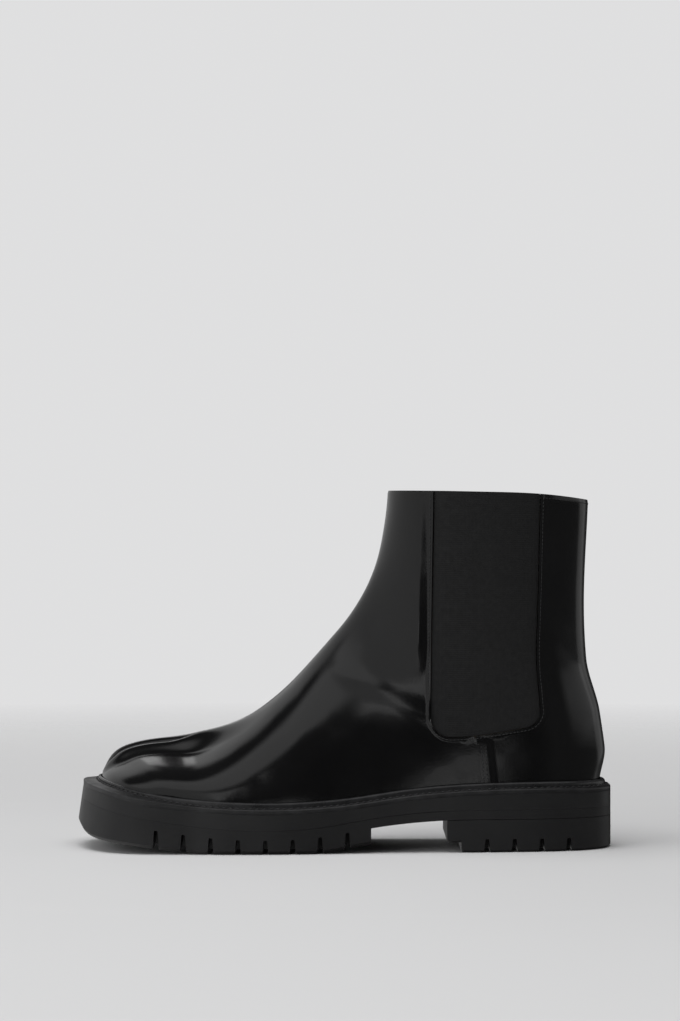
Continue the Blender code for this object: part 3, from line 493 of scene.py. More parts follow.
# ---- meshes ----
def add_mesh(name, points, faces, finish, sharp=40.0):
    """Object from points in millimetres, closed and turned outward, with doubled points merged."""
    mesh = bpy.data.meshes.new(name)
    placed = (np.asarray(points, float) + SHIFT) * MM
    mesh.from_pydata(placed.tolist(), [], faces)
    shape = bmesh.new()
    shape.from_mesh(mesh)
    bmesh.ops.remove_doubles(shape, verts=shape.verts[:], dist=0.00001)
    bmesh.ops.recalc_face_normals(shape, faces=shape.faces[:])
    shape.to_mesh(mesh)
    shape.free()
    mesh.materials.append(finish)
    mesh.shade_smooth()
    mesh.set_sharp_from_angle(angle=math.radians(sharp))
    made = bpy.data.objects.new(name, mesh)
    bpy.context.scene.collection.objects.link(made)
    return made


def keep(piece, slot, *nodes):
    """The piece rides on the boot and stands for these CAD nodes, which it hides. The slot is not used.
    """
    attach(piece, "root")
    if nodes:
        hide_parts(*nodes)
    return piece


def soften(piece, width, segments=3):
    """Round the piece's sharp edges."""
    bevel = piece.modifiers.new("round_edges", "BEVEL")
    bevel.width = width * MM
    bevel.segments = segments
    bevel.limit_method = "ANGLE"
    bevel.angle_limit = math.radians(50)
    bevel.harden_normals = False


def grid_faces(rows, columns, start=0, flip=False):
    faces = []
    for i in range(rows - 1):
        for j in range(columns - 1):
            a = start + i * columns + j
            quad = (a, a + 1, a + columns + 1, a + columns)
            faces.append(quad[::-1] if flip else quad)
    return faces


def tube_faces(count, size, start=0, closed=False):
    """Faces along a tube of count rings with size points each."""
    faces = []
    for i in range(count if closed else count - 1):
        a, b = start + i * size, start + (i + 1) % count * size
        for j in range(size):
            m = (j + 1) % size
            faces.append((a + j, a + m, b + m, b + j))
    return faces


def add_sheet(name, outer, inner, finish, width=0.5):
    """Closed sheet between two grids of points, with rounded edges."""
    rows, columns = outer.shape[:2]
    half = rows * columns
    faces = grid_faces(rows, columns) + grid_faces(rows, columns, half, True)
    border = ([(0, j) for j in range(columns - 1)] + [(i, columns - 1) for i in range(rows - 1)]
              + [(rows - 1, j) for j in range(columns - 1, 0, -1)]
              + [(i, 0) for i in range(rows - 1, 0, -1)])
    ring = [i * columns + j for i, j in border]
    for a, b in zip(ring, ring[1:] + ring[:1]):
        faces.append((a, half + a, half + b, b))
    points = np.concatenate([outer.reshape(-1, 3), inner.reshape(-1, 3)])
    piece = add_mesh(name, points, faces, finish)
    soften(piece, width)
    return piece


def sheet_points(s, q, depth):
    """Points at a depth below the last's surface; depth is a number or an array like s."""
    return skin(s, q) - normal(s, q) * np.broadcast_to(depth, s.shape)[..., None]


def add_layer(name, s, q, depth, thick, finish, width=0.5):
    """Sheet of even thickness whose outer face lies at a depth below the last's surface."""
    return add_sheet(name, sheet_points(s, q, depth), sheet_points(s, q, depth + thick), finish, width)


# ---- the upper ----
PUFF_END = -92.0                             # x on the ridge where the toe puffs end
PUFF_DEPTH, PUFF = LEATHER + 0.6, 1.1


def make_vamp(leather, lining, board):
    s, q = vamp_grid()
    face = skin(s, q)
    lift = folds(face) + folded_edge(face) + top_roll(face)
    keep(add_layer("vamp_leather", s, q, -lift, LEATHER, leather), "upper_leather", "vamp")
    s, q = s[::2, ::2], q[::2, ::2]
    border = np.abs(np.linspace(-1, 1, s.shape[1])) > 0.99
    q = q * (1 - 0.035 * ease((80 - skin(s, q)[..., 2]) / 10) * border)
    face = skin(s, q)
    depth = lining_depth(face) - folds(face) * ease((face[..., 2] - 120) / 30)
    keep(add_layer("vamp_lining_leather", s, q, depth, LINING, lining, 0.3), "lining", "vamp_lining")
    fold = s.shape[1] // 2
    toe = s[:, fold] < locate(PUFF_END, 62.0)[0]
    for node, part in (("medial_toe_puff", slice(2, fold - 2)),
                       ("lateral_toe_puff", slice(fold + 3, -2))):
        piece = add_layer("stiff_" + node, s[toe, part], q[toe, part], PUFF_DEPTH, PUFF, board, 0.2)
        keep(piece, "stiffener", node)


def make_quarter(leather, lining):
    s, q = quarter_grid()
    q = fold_angle(q)
    face = skin(s, q)
    lift = folded_edge(face) + lap(face) * (face[..., 2] < 62) + top_roll(face)
    keep(add_layer("quarter_leather", s, q, -lift, LEATHER, leather), "upper_leather", "rear_quarter")
    s, q = s[::2, ::2], q[::2, ::2]
    piece = add_layer("quarter_lining_leather", s, q, lining_depth(skin(s, q)), LINING, lining, 0.3)
    keep(piece, "lining", "quarter_lining")


def make_gores(elastic):
    """Woven elastic with real ribs across it."""
    rows = int(GORE_TALL / RIB_PITCH) * RIB_STEPS
    for name, node, side in (("gore_lateral", "elastic_gore_lateral", 1),
                             ("gore_medial", "elastic_gore_medial", -1)):
        s, q = gore_grid(rows, side)
        face = skin(s, q)
        phase = face[..., 2] / RIB_PITCH
        rib = RIB_HEIGHT * np.abs(np.sin(math.pi * phase)) ** 0.7
        across = np.linspace(0, 1, GORE_COLUMNS + 1)[None, :]
        crown = 0.25 * np.sin(math.pi * across)
        edge = ease(np.minimum(across, 1 - across) / 0.03)
        depth = ELASTIC_DEPTH - crown - (rib - RIB_HEIGHT) * edge
        back = ELASTIC_DEPTH + ELASTIC - 0.4 - crown
        piece = add_sheet(name, sheet_points(s, q, depth), sheet_points(s, q, back), elastic, 0.2)
        keep(piece, "elastic", node)


# ---- stitching ----
STITCH_RINGS, STITCH_SIDES = 6, 6
GORE_STITCH, TOP_STITCH = 1.5, 2.3           # distance from the elastic and from the top line
SEAM_STITCHES = ((1.5, 2.6), (3.3, 5.0))     # each row's distance behind the seam, foot and top
SEAM_FOOT, SEAM_RUN = 33.5, 27.1


def along_path(points):
    """Length along the path at each of its points."""
    return np.concatenate([[0], np.cumsum(np.linalg.norm(np.diff(points, axis=0), axis=1))])


def at_length(at, along, values):
    """Values held by a path's points, read off at lengths along it."""
    return np.stack([np.interp(at, along, column) for column in values.T], axis=-1)


def stitch_row(points, normals, pitch, gap, radius):
    """Points and faces of a row of stitches that dip into the leather at both ends."""
    along = along_path(points)
    verts, faces = [], []
    for number in range(int(along[-1] // pitch)):
        start = number * pitch + gap / 2
        at = start + (pitch - gap) * np.linspace(0, 1, STITCH_RINGS)
        middle, up = at_length(at, along, points), at_length(at, along, normals)
        up /= np.linalg.norm(up, axis=1)[:, None]
        ahead = np.gradient(middle, axis=0)
        ahead /= np.linalg.norm(ahead, axis=1)[:, None]
        side = np.cross(ahead, up)
        bow = np.sin(np.linspace(0, math.pi, STITCH_RINGS))
        lift = radius * (0.75 * bow - 0.55)
        size = radius * (0.35 + 0.65 * bow ** 0.5)
        base = len(verts)
        for k in range(STITCH_RINGS):
            for turn in np.linspace(0, 2 * math.pi, STITCH_SIDES, endpoint=False):
                verts.append(middle[k] + up[k] * (lift[k] + size[k] * math.sin(turn))
                             + side[k] * size[k] * math.cos(turn))
        faces += tube_faces(STITCH_RINGS, STITCH_SIDES, base)
        faces.append(tuple(range(base, base + STITCH_SIDES)))
        faces.append(tuple(range(len(verts) - STITCH_SIDES, len(verts))))
    return verts, faces


def add_stitches(name, rows, thread, pitch=2.1, gap=0.45, radius=0.27):
    """One object from several rows, each a list of points and a list of normals."""
    verts, faces = [], []
    for points, normals in rows:
        more, sides = stitch_row(points, normals, pitch, gap, radius)
        faces += [tuple(i + len(verts) for i in face) for face in sides]
        verts += more
    return keep(add_mesh(name, verts, faces, thread, 60), None)


def on_leather(x, z, side, raised=0.0):
    """Points on the leather's face seen at x, z, and the directions out of it."""
    s, q, _ = locate(x, z)
    q = q * side
    return skin(s, q) + normal(s, q) * np.broadcast_to(raised, s.shape)[..., None], normal(s, q)


def gore_path(away):
    """Line outside the gore's outline at a distance, from its front top round its foot."""
    z = np.linspace(198.0, 75.0, 60)
    front = np.column_stack([curve(GORE_FRONT, z), z])
    turn = np.linspace(math.pi / 2, 0, 14)
    x = GORE_LEFT + GORE_FRONT_ROUND * (1 - np.sin(turn))
    bend = np.column_stack([x, curve(GORE_FOOT, x) + GORE_FRONT_ROUND * (1 - np.cos(turn))])
    x = np.linspace(GORE_LEFT + GORE_FRONT_ROUND + 1, GORE_RIGHT - GORE_REAR_ROUND - 1, 24)
    foot = np.column_stack([x, gore_foot(x)])
    x = GORE_RIGHT - GORE_REAR_ROUND * (1 - np.sin(turn[::-1]))
    rear_bend = np.column_stack([x, curve(GORE_FOOT, x) + GORE_REAR_ROUND * (1 - np.cos(turn[::-1]))])
    z = np.linspace(rear_bend[-1, 1] + 2, 197.0, 60)
    rear = np.column_stack([curve(GORE_REAR, z), z])
    line = np.concatenate([front, bend[1:], foot, rear_bend, rear])
    ahead = np.gradient(line, axis=0)
    out = np.column_stack([ahead[:, 1], -ahead[:, 0]])
    return line + away * out / np.linalg.norm(out, axis=1)[:, None]


def top_path(below, start, end, count=160):
    """Line round the boot at a distance below the top line, between two angles."""
    q = np.linspace(start, end, count)
    s = at_height(fold_angle(q), 0.93, below)
    q = fold_angle(q)
    return skin(s, q), normal(s, q)


def angle_of(x, z):
    return float(locate(x, z)[1])


def make_stitching(thread):
    for name, side in (("stitching_gore_lateral", 1), ("stitching_gore_medial", -1)):
        line = gore_path(GORE_STITCH)
        add_stitches(name, [on_leather(line[:, 0], line[:, 1], side, 0.35)], thread)
    front, rear = angle_of(47.6, 197.5), angle_of(112.0, 195.8)
    add_stitches("stitching_top_front", [top_path(TOP_STITCH, -front, front)], thread)
    add_stitches("stitching_top_rear", [top_path(TOP_STITCH, rear, 2 * math.pi - rear)], thread)
    rows = []
    for side in (1, -1):
        for away, top_away in SEAM_STITCHES:
            z = np.linspace(SEAM_FOOT, 60.0, 30)
            reach = away + (top_away - away) * (z - SEAM_FOOT) / SEAM_RUN
            rows.append(on_leather(curve(SEAM, z) + reach, z, side, 0.5))
    add_stitches("stitching_side_seams", rows, thread)


# ---- outlines of the bottom ----
def contour(level, steps=110):
    """Outline of the upper where its outside crosses the height level(x)."""
    def above(s, q):
        point = skin(s, q)
        return point[..., 2] - level(point[..., 0])

    sides = []
    for side in (1, -1):
        line = []
        for q in np.linspace(0, 1.4, 40):
            s = first_past(lambda t: above(t, side * q) > 0, 0.0, 0.3)
            line.append(skin(s, side * q))
        start = s + 0.01
        end = first_past(lambda t: above(t, math.pi) > 0, 0.3, 1.0)
        for t in start + (end - start) * np.sin(np.linspace(0, 1, steps)[1:] * math.pi / 2):
            q = first_past(lambda a: above(t, side * a) < 0, 0.9, math.pi)
            line.append(skin(t, side * q))
        sides.append(np.array(line)[:, :2])
    outer, inner = sides
    return Outline(smooth_loop(np.concatenate([outer, inner[-2:0:-1]])))


class Outline:
    """Closed plan curve, which gives its outer and inner side at any x."""

    def __init__(self, loop):
        self.loop = loop

    def normals(self):
        ahead = np.roll(self.loop, -1, axis=0) - np.roll(self.loop, 1, axis=0)
        out = np.stack([-ahead[:, 1], ahead[:, 0]], axis=1)
        out /= np.linalg.norm(out, axis=1)[:, None]
        centre = self.loop.mean(axis=0)
        return out * np.sign(np.sum(out * (self.loop - centre), axis=1).sum())

    def grown(self, distance):
        """The outline moved outward by distance, a number or a function of x."""
        far = distance(self.loop[:, 0]) if callable(distance) else distance
        return Outline(self.loop + self.normals() * np.broadcast_to(far, len(self.loop))[:, None])

    def ends(self):
        return self.loop[:, 0].min(), self.loop[:, 0].max()

    def sides(self, x):
        """y of the outer and the inner side at each x."""
        toe, heel = np.argmin(self.loop[:, 0]), np.argmax(self.loop[:, 0])
        ring = np.roll(self.loop, -toe, axis=0)
        cut = (heel - toe) % len(ring)
        one, two = ring[:cut + 1], np.concatenate([ring[cut:], ring[:1]])[::-1]
        a, b = np.interp(x, one[:, 0], one[:, 1]), np.interp(x, two[:, 0], two[:, 1])
        return np.minimum(a, b), np.maximum(a, b)


def smooth_loop(loop, count=420):
    """The closed loop resampled evenly and smoothed a little."""
    closed = np.concatenate([loop, loop[:1]])
    along = along_path(closed)
    even = at_length(np.linspace(0, along[-1], count, endpoint=False), along, closed)
    for _ in range(6):
        even = (np.roll(even, 1, axis=0) + 2 * even + np.roll(even, -1, axis=0)) / 4
    return even


def welt_reach(x):
    toe = ease((-78 - np.asarray(x, float)) / 45)
    heel = ease((np.asarray(x, float) - 105) / 35)
    return WELT_SIDE + (WELT_TOE - WELT_SIDE) * toe + (WELT_HEEL - WELT_SIDE) * heel


def lean(x):
    return ease((-112 - x) / 34)


# ---- welt and bead ----
def ring_point(loop, out, away, rise):
    """Points round the boot at a distance out from the upper and a height above the midsole."""
    x = loop[:, 0]
    back = SOLE_RAKE * lean(x + out[:, 0] * welt_reach(x)) * 0.9 * away / welt_reach(x)
    return np.stack([x + out[:, 0] * away + back, loop[:, 1] + out[:, 1] * away,
                     midsole_top(x) + rise], axis=-1)


def add_ring(name, outline, section, finish, sharp=50.0):
    """Ring whose section gives a list of (distance out, height), each an array over the loop."""
    loop, out = outline.loop, outline.normals()
    tracks = [ring_point(loop, out, away, rise) for away, rise in section(loop[:, 0])]
    points = np.stack(tracks, axis=1).reshape(-1, 3)
    return add_mesh(name, points, tube_faces(len(loop), len(tracks), closed=True), finish, sharp)


WELT_SLOPE = 0.7                             # the welt's top falls this much to its edge


def toe_rise(x):
    """At the toe the welt is thicker and leaves less of the bead above it."""
    return 1.5 * ease((-70 - x) / 50)


def welt_section(x):
    """Flat strip with a stitch groove beside the bead and a rounded edge."""
    reach = welt_reach(x)
    foot, top = SOLE_GAP - 0.28, SOLE_GAP + WELT_THICK + toe_rise(x)
    one = np.ones_like(x)
    groove = BEAD_WIDE + 1.9
    return [(1.5 * one, foot), (reach - 0.04, foot), (reach, foot + 0.04),
            (reach, top - WELT_SLOPE - 0.6), (reach - 0.2, top - WELT_SLOPE - 0.18),
            (reach - 0.6, top - WELT_SLOPE), (np.maximum(reach - 2.4, groove + 0.6), top - 0.55),
            (groove * one, top - 0.5), (groove - 0.6 * one, top - 0.35), (BEAD_WIDE * one, top - 0.1),
            (1.5 * one, top)]


def bead_section(x):
    """Half-round bead, with its crest against the upper."""
    foot, w = SOLE_GAP + WELT_THICK - 0.1, BEAD_WIDE
    top = foot + 0.3 + BEAD_TALL
    side = foot + 0.9 + toe_rise(x)
    one = np.ones_like(x)
    turn = np.linspace(0, math.pi * 0.62, 9)
    arc = [((w - 1.6 + 1.6 * math.cos(a)) * one, side + (top - side) * math.sin(min(a, math.pi / 2)))
           for a in turn]
    return [(1.5 * one, foot), (w * one, foot)] + arc + [(1.2 * one, top - 0.5)]


def make_welt(outline, welt, bead, thread):
    keep(add_ring("welt_strip", outline, welt_section, welt), "welt", "welt")
    keep(add_ring("storm_bead_strip", outline, bead_section, bead), "welt", "storm_bead")
    loop, out = outline.loop, outline.normals()
    line = ring_point(loop, out, BEAD_WIDE + 1.3, SOLE_GAP + WELT_THICK - 0.2 + toe_rise(loop[:, 0]))
    up = np.column_stack([out * 0.15, np.ones(len(out))])
    closed = np.concatenate([line, line[:1]]), np.concatenate([up, up[:1]])
    add_stitches("stitching_welt", [closed], thread, 3.7, 0.7, 0.5)


# ---- sole ----
def stations(low, high, count):
    """x values from low to high, closer together at both ends."""
    return low + (high - low) * (1 - np.cos(np.linspace(0, math.pi, count))) / 2


def squeezed(x, base, own):
    """x moved so that a track with its own ends runs the whole way as the base does."""
    front, rear = -125.0, 128.0
    x = np.where(x < front, front - (front - x) * (front - own[0]) / (front - base[0]), x)
    return np.where(x > rear, rear + (x - rear) * (own[1] - rear) / (base[1] - rear), x)


def add_tracks(name, outline, x, rows, finish, rake, ends=(None, None), sharp=38.0):
    """Closed body from tracks along the boot, in order round its section. Each row has its distance
    outside the outline, its share of the width from the outer side, and its height over x."""
    base = outline.ends()
    tracks = []
    for offset, share, height in rows:
        edge = outline.grown(offset)
        own = edge.ends()
        px = squeezed(x, base, own)
        low, high = ends
        px = px if low is None else np.maximum(px, low)
        px = px if high is None else np.minimum(px, high)
        lat, med = edge.sides(px)
        y = lat + (med - lat) * share
        z = height(px) + 0 * px
        tracks.append(np.stack([px + rake * lean(px) * z / RAKE_DEPTH, y, z], axis=-1))
    points = np.stack(tracks, axis=1)
    count, size = points.shape[:2]
    faces = tube_faces(count, size)
    if ends[0] is not None:
        faces.append(tuple(range(size)))
    if ends[1] is not None:
        faces.append(tuple(range((count - 1) * size, count * size)))
    return add_mesh(name, points.reshape(-1, 3), faces, finish, sharp)


def both_sides(wall, across):
    """Rows of (offset, share, height): the outer wall down, the middle rows, the inner wall up."""
    outer = [(offset, 0.0, height) for offset, height in wall]
    inner = [(offset, 1.0, height) for offset, height in wall[::-1]]
    return outer + across + inner


def notch_depth(x, notches, top=NOTCH_TOP, foot=NOTCH_FOOT, round_off=0.6):
    """0 on a lug, 1 at the root of a notch, with tapered flanks and rounded corners."""
    away = np.min(np.abs(np.asarray(x)[..., None] - np.asarray(notches)), axis=-1)
    half_top, half_foot = top / 2, foot / 2
    flank = np.clip((half_foot - away) / (half_foot - half_top), 0, 1)
    lead = 0.03 * ease((half_foot + round_off - away) / round_off)
    return np.clip(0.94 * flank + 0.06 * ease((half_top - away + 0.2) / 0.7) + lead * (1 - flank), 0, 1)


def notch_lines(notches):
    """x values that catch the shape of every notch."""
    offsets = [0.0, 0.35, 0.6, 0.8, NOTCH_TOP / 2, 1.2, 1.4, 1.55, NOTCH_FOOT / 2, 1.95, 2.3, 2.8]
    return [c + side * d for c in notches for d in offsets for side in (-1, 1)]


def tread_lines(start, end, notches, pitch):
    """x values over a lugged stretch that catch its notches and the ends of its centre bars."""
    bars = [v + pitch / 2 for v in notch_lines(notches[:-1])]
    return list(np.arange(start, end, 1.9)) + notch_lines(notches) + bars


TREAD_SHARES = np.array([0.05, 0.12, 0.19, 0.245, 0.262, 0.30, 0.318, 0.36, 0.42, 0.48])
LUG_SHARE, CENTRE_SHARE = 0.25, 0.31


def tread_height(low, high, notches, pitch, share):
    """Height of the tread under a share of the width: side lugs, channels, and centre bars
    that stand between the side lugs' notches."""
    side_share = min(share, 1 - share)

    def height(x):
        lug, root = low(x), high(x)
        if side_share <= LUG_SHARE:
            cut = notch_depth(x, notches)
        elif side_share >= CENTRE_SHARE:
            cut = notch_depth(x, [c + pitch / 2 for c in notches] + [notches[0] - pitch / 2])
        else:
            cut = 1.0
        return lug + (root - lug) * cut

    return height


def wall_height(nominal, low, high, notches):
    """Height of a wall's track, lifted to the notch's root where the notch cuts it."""
    def height(x):
        floor = low(x) + (high(x) - low(x)) * notch_depth(x, notches)
        return np.maximum(nominal(x), floor)
    return height


def seam(x):
    """Depth of the groove between midsole and outsole: hardly any at the forefoot."""
    return 0.02 + 0.12 * ease((x + 40) / 50) * ease((62 - x) / 10)


def make_midsole(outline, rubber):
    x = stations(*outline.ends(), 260)

    def top(z):
        return lambda v: midsole_top(v + SOLE_RAKE * lean(v) * 0.9) + z

    def foot(part):
        return lambda v: curve(LAYER, v) + OUTSOLE_THICK + 0.03 + part * seam(v)

    wall = [(-3.0, top(0.0)), (-0.04, top(0.0)), (0.0, top(-0.04)), (0.0, foot(1.0)), (-0.2, foot(0.0)),
            (-2.5, foot(0.0))]
    rows = both_sides(wall, [(-2.5, 0.5, foot(0.0))]) + [(-3.0, 0.5, top(0.0))]
    piece = add_tracks("midsole_block", outline, x, rows, rubber, SOLE_RAKE)
    keep(piece, "midsole_rubber", "midsole")


def tread_rows(low, high, top, notches, pitch, bevel, last=math.inf):
    """Rows of a lugged layer from its top edge round the underside. Its lower edge is cut back
    as far as x reaches last; behind that the layer lies off the ground with a sharp edge."""
    def between(share):
        return lambda x: low(x) + (top(0)(x) - low(x)) * share

    def lifted(rise):
        return lambda x: low(x) + rise * (1 - 0.92 * ease((x - last + 0.4) / 0.4))

    wall = [(-2.5, top(0.0)), (-0.2, top(0.0)), (0.0, lambda x: top(0.0)(x) - seam(x))]
    for share in (0.8, 0.6, 0.4, 0.25):
        wall.append((0.0, wall_height(between(share), low, high, notches)))
    for offset, rise in ((0.0, 1.1), (-0.15, 0.98), (-1.0, 0.3), (-1.6, 0.0)):
        wall.append((offset * bevel, wall_height(lifted(rise * bevel), low, high, notches)))
    shares = np.concatenate([TREAD_SHARES, 1 - TREAD_SHARES[::-1]])
    across = [(-1.6 * bevel, share, tread_height(low, high, notches, pitch, share)) for share in shares]
    return both_sides(wall, across) + [(-2.5, 0.5, top(0.0))]


def make_outsole(outline, rubber):
    before, after = FOREFOOT_NOTCHES[0] - 6, TREAD_END + 1.2
    lines = [v for v in stations(*outline.ends(), 300) if v < before or v > after]
    lines += tread_lines(before, TREAD_END - 1, FOREFOOT_NOTCHES, FOREFOOT_PITCH)
    lines = [v for v in lines if v < TREAD_END - 0.8 or v > after]
    lines += [TREAD_END - 0.7, TREAD_END - 0.35, TREAD_END, TREAD_END + 0.05, TREAD_END + 0.3, after]
    x = thinned(lines)

    def high(v):
        return curve(LAYER, v)

    def low(v):
        edge = ground(np.minimum(v, TREAD_END)) + 0.35 * ease((v - TREAD_END + 0.8) / 0.8)
        return np.where(v <= TREAD_END + 0.01, edge, high(v))

    def top(z):
        return lambda v: high(v) + OUTSOLE_THICK + z

    rows = tread_rows(low, high, top, FOREFOOT_NOTCHES, FOREFOOT_PITCH, 1.7, TREAD_END)
    piece = add_tracks("outsole_tread", outline, x, rows, rubber, SOLE_RAKE)
    keep(piece, "outsole_rubber", "outsole")


def thinned(lines, least=0.04):
    """Sorted values without near repeats, both ends kept."""
    kept = []
    for v in sorted(lines):
        if not kept or v - kept[-1] > least:
            kept.append(v)
    return np.append(kept[:-1], max(lines))


def make_heel(outline, rubber):
    behind, step = HEEL_NOTCHES[-1] + 4, HEEL_FRONT + HEEL_STEP
    lines = [v for v in stations(HEEL_FRONT, outline.ends()[1], 120) if v > behind]
    lines += [HEEL_FRONT + d for d in (0, 0.15, 0.5, 1.2, 4)]
    lines += [step - 0.9, step - 0.3, step - 0.02, step + 0.02, step + 0.3, step + 0.9]
    x = thinned(lines + tread_lines(step + 2, behind, HEEL_NOTCHES, HEEL_PITCH))

    def top(z):
        return lambda v: curve(LAYER, v) - 0.08 + z

    def high(v):
        return np.full_like(v, HEEL_ROOT)

    def low(v):
        front = HEEL_STEP_RISE + 0.5 * ease((HEEL_FRONT + 1.2 - v) / 1.2)
        chamfer = 0.5 * ease((step + 0.9 - v) / 0.9)
        return np.where(v < step, front, chamfer)

    rows = tread_rows(low, high, top, HEEL_NOTCHES, HEEL_PITCH, 1.0)
    piece = add_tracks("heel_tread", outline, x, rows, rubber, 0.0, ends=(HEEL_FRONT, None))
    keep(piece, "outsole_rubber", "heel_block")


# ---- inside ----
# Heights above the midsole, and where sock liner and heel cushion meet.
FOOTBED_LOW, SOCK_HIGH, CUSHION_HIGH = 5.25, 6.6, 7.4
SOCK_REAR, CUSHION_FRONT = 60.4, 61.6


def add_slab(name, outline, x, foot, top, inset, finish, crown=0.0):
    """Thin layer inside the boot, with a rounded edge and a slight crown."""
    wall = [(-inset - 1.2, top), (-inset - 0.4, lambda v: top(v) - 0.1),
            (-inset, lambda v: top(v) - 0.5), (-inset, lambda v: foot(v) + 0.2), (-inset - 0.3, foot)]
    rows = both_sides(wall, [(-inset - 0.3, 0.5, foot)])
    rows += [(-inset - 1.2, share, lambda v, c=c: top(v) + crown * c)
             for share, c in ((0.85, 0.5), (0.65, 0.9), (0.5, 1.0), (0.35, 0.9), (0.15, 0.5))]
    return add_tracks(name, outline, x, rows, finish, 0.0, ends=(x[0], x[-1]))


def make_footbed(lining, foam):
    inside = contour(lambda x: midsole_top(x) + 4, 60).grown(-7.0)
    first, last = inside.ends()

    def level(rise):
        return lambda v: midsole_top(v) + rise

    def cushion_top(v):
        return level(CUSHION_HIGH)(v) + ease((v - 62) / 18)

    x = stations(first + 4.4, SOCK_REAR, 90)
    piece = add_slab("sock_cover", inside, x, level(FOOTBED_LOW), level(SOCK_HIGH), 3.6, lining)
    keep(piece, "lining", "sock_liner")
    x = stations(CUSHION_FRONT, last - 1.8, 60)
    piece = add_slab("heel_cushion", inside, x, level(FOOTBED_LOW), cushion_top, 1.4, foam, 0.7)
    keep(piece, "heel_pad", "heel_pad")


# ---- materials ----
def add_node(tree, kind, settings=(), **inputs):
    """Node with its settings and the numbers or sockets that go into its inputs."""
    made = tree.nodes.new("ShaderNode" + kind)
    for name, value in dict(settings).items():
        setattr(made, name, value)
    for name, value in inputs.items():
        socket = made.inputs[name.replace("_", " ")]
        if isinstance(value, bpy.types.NodeSocket):
            tree.links.new(value, socket)
        else:
            socket.default_value = value
    return made


def noise(tree, place, scale, detail=3.0, rough=0.5):
    made = add_node(tree, "TexNoise", Vector=place, Scale=scale, Detail=detail, Roughness=rough)
    return made.outputs["Fac"]


def cells(tree, place, scale):
    return add_node(tree, "TexVoronoi", Vector=place, Scale=scale).outputs["Distance"]


def waves(tree, place, scale, direction, distortion=0.0):
    made = add_node(tree, "TexWave", {"bands_direction": direction}, Vector=place, Scale=scale,
                    Distortion=distortion)
    return made.outputs["Fac"]


def to_range(tree, value, low, high, from_low=0.3, from_high=0.7):
    made = add_node(tree, "MapRange", Value=value, From_Min=from_low, From_Max=from_high,
                    To_Min=low, To_Max=high)
    return made.outputs["Result"]


def two_colours(tree, value, one, two, from_low=0.3, from_high=0.7):
    made = add_node(tree, "ValToRGB", Fac=value)
    for stop, place, colour in zip(made.color_ramp.elements, (from_low, from_high), (one, two)):
        stop.position = place
        stop.color = (*colour, 1)
    return made.outputs["Color"]


def relief(tree, place, *layers):
    """Layers of bump, the broadest first, each a pattern, its settings, its distance and strength.
    Gives one normal per layer."""
    normals = []
    for pattern, settings, distance, strength in layers:
        made = add_node(tree, "Bump", Height=pattern(tree, place, *settings), Distance=distance,
                        Strength=strength)
        if normals:
            tree.links.new(normals[-1], made.inputs["Normal"])
        normals.append(made.outputs["Normal"])
    return normals


def blank_material(name):
    made = bpy.data.materials.new(name)
    made.use_nodes = True
    tree = made.node_tree
    place = add_node(tree, "TexCoord").outputs["Object"]
    return made, tree, tree.nodes["Principled BSDF"], place


def textured(name, mottle, colours, polish, roughness, *layers, ramp=(0.3, 0.7), **constants):
    """Material whose colour runs between two colours and whose roughness between two values, each
    by a noise, with layers of fine relief and the shader's own constants."""
    made, tree, shader, place = blank_material(name)
    link = tree.links.new
    link(two_colours(tree, noise(tree, place, *mottle), *colours, *ramp), shader.inputs["Base Color"])
    if polish:
        link(to_range(tree, noise(tree, place, *polish), *roughness), shader.inputs["Roughness"])
    normals = relief(tree, place, *layers)
    link(normals[-1], shader.inputs["Normal"])
    if "Coat_Weight" in constants:
        link(normals[0], shader.inputs["Coat Normal"])
    for key, value in constants.items():
        shader.inputs[key.replace("_", " ")].default_value = value
    return made


def polished_leather():
    """Glossy black leather: smooth, with fine pores and slightly uneven polish."""
    return textured("polished_leather", (22,), ((0.0035, 0.0035, 0.0037), (0.006, 0.006, 0.0062)),
                    (60, 5), (0.10, 0.15), (noise, (30, 2), 0.0009, 0.5),
                    (cells, (1500,), 0.00006, 0.35), (noise, (900, 4), 0.00005, 0.4),
                    Coat_Weight=0.25, Coat_Roughness=0.04)


def ribbed_elastic():
    """Matte woven elastic: fine threads between the ribs, slightly fuzzy."""
    return textured("ribbed_elastic", (2600, 2), ((0.0095, 0.0095, 0.0098), (0.0125, 0.0125, 0.0128)),
                    (300,), (0.72, 0.9), (waves, (420, "X", 0.6), 0.00008, 0.6),
                    (noise, (2600, 2), 0.00003, 0.3), Sheen_Weight=0.08, Sheen_Roughness=0.4)


def moulded_rubber(name, one, two, low, high):
    """Satin rubber with a fine moulded texture and faint scuffs."""
    return textured(name, (26, 6, 0.6), (one, two), (45, 5), (low, high), (noise, (40, 2), 0.0005, 0.3),
                    (noise, (2200, 3), 0.00005, 0.5))


def waxed_edge(name, low, high):
    """Waxed welt leather, smooth with faint lengthwise fibres."""
    return textured(name, (160, 4), ((0.012, 0.012, 0.0125), (0.024, 0.024, 0.025)),
                    (120, 4), (low, high), (noise, (700, 3), 0.0001, 0.4))


def waxed_thread():
    return textured("waxed_thread", (900, 2), ((0.016, 0.016, 0.0165), (0.034, 0.034, 0.035)),
                    None, None, (waves, (1100, "DIAGONAL"), 0.0001, 0.5), Roughness=0.45)


def lining_leather():
    return textured("lining_leather", (70, 4), ((0.075, 0.066, 0.056), (0.125, 0.110, 0.092)),
                    (90, 4), (0.5, 0.68), (cells, (1100,), 0.0001, 0.4), (noise, (240, 4), 0.00025, 0.4))


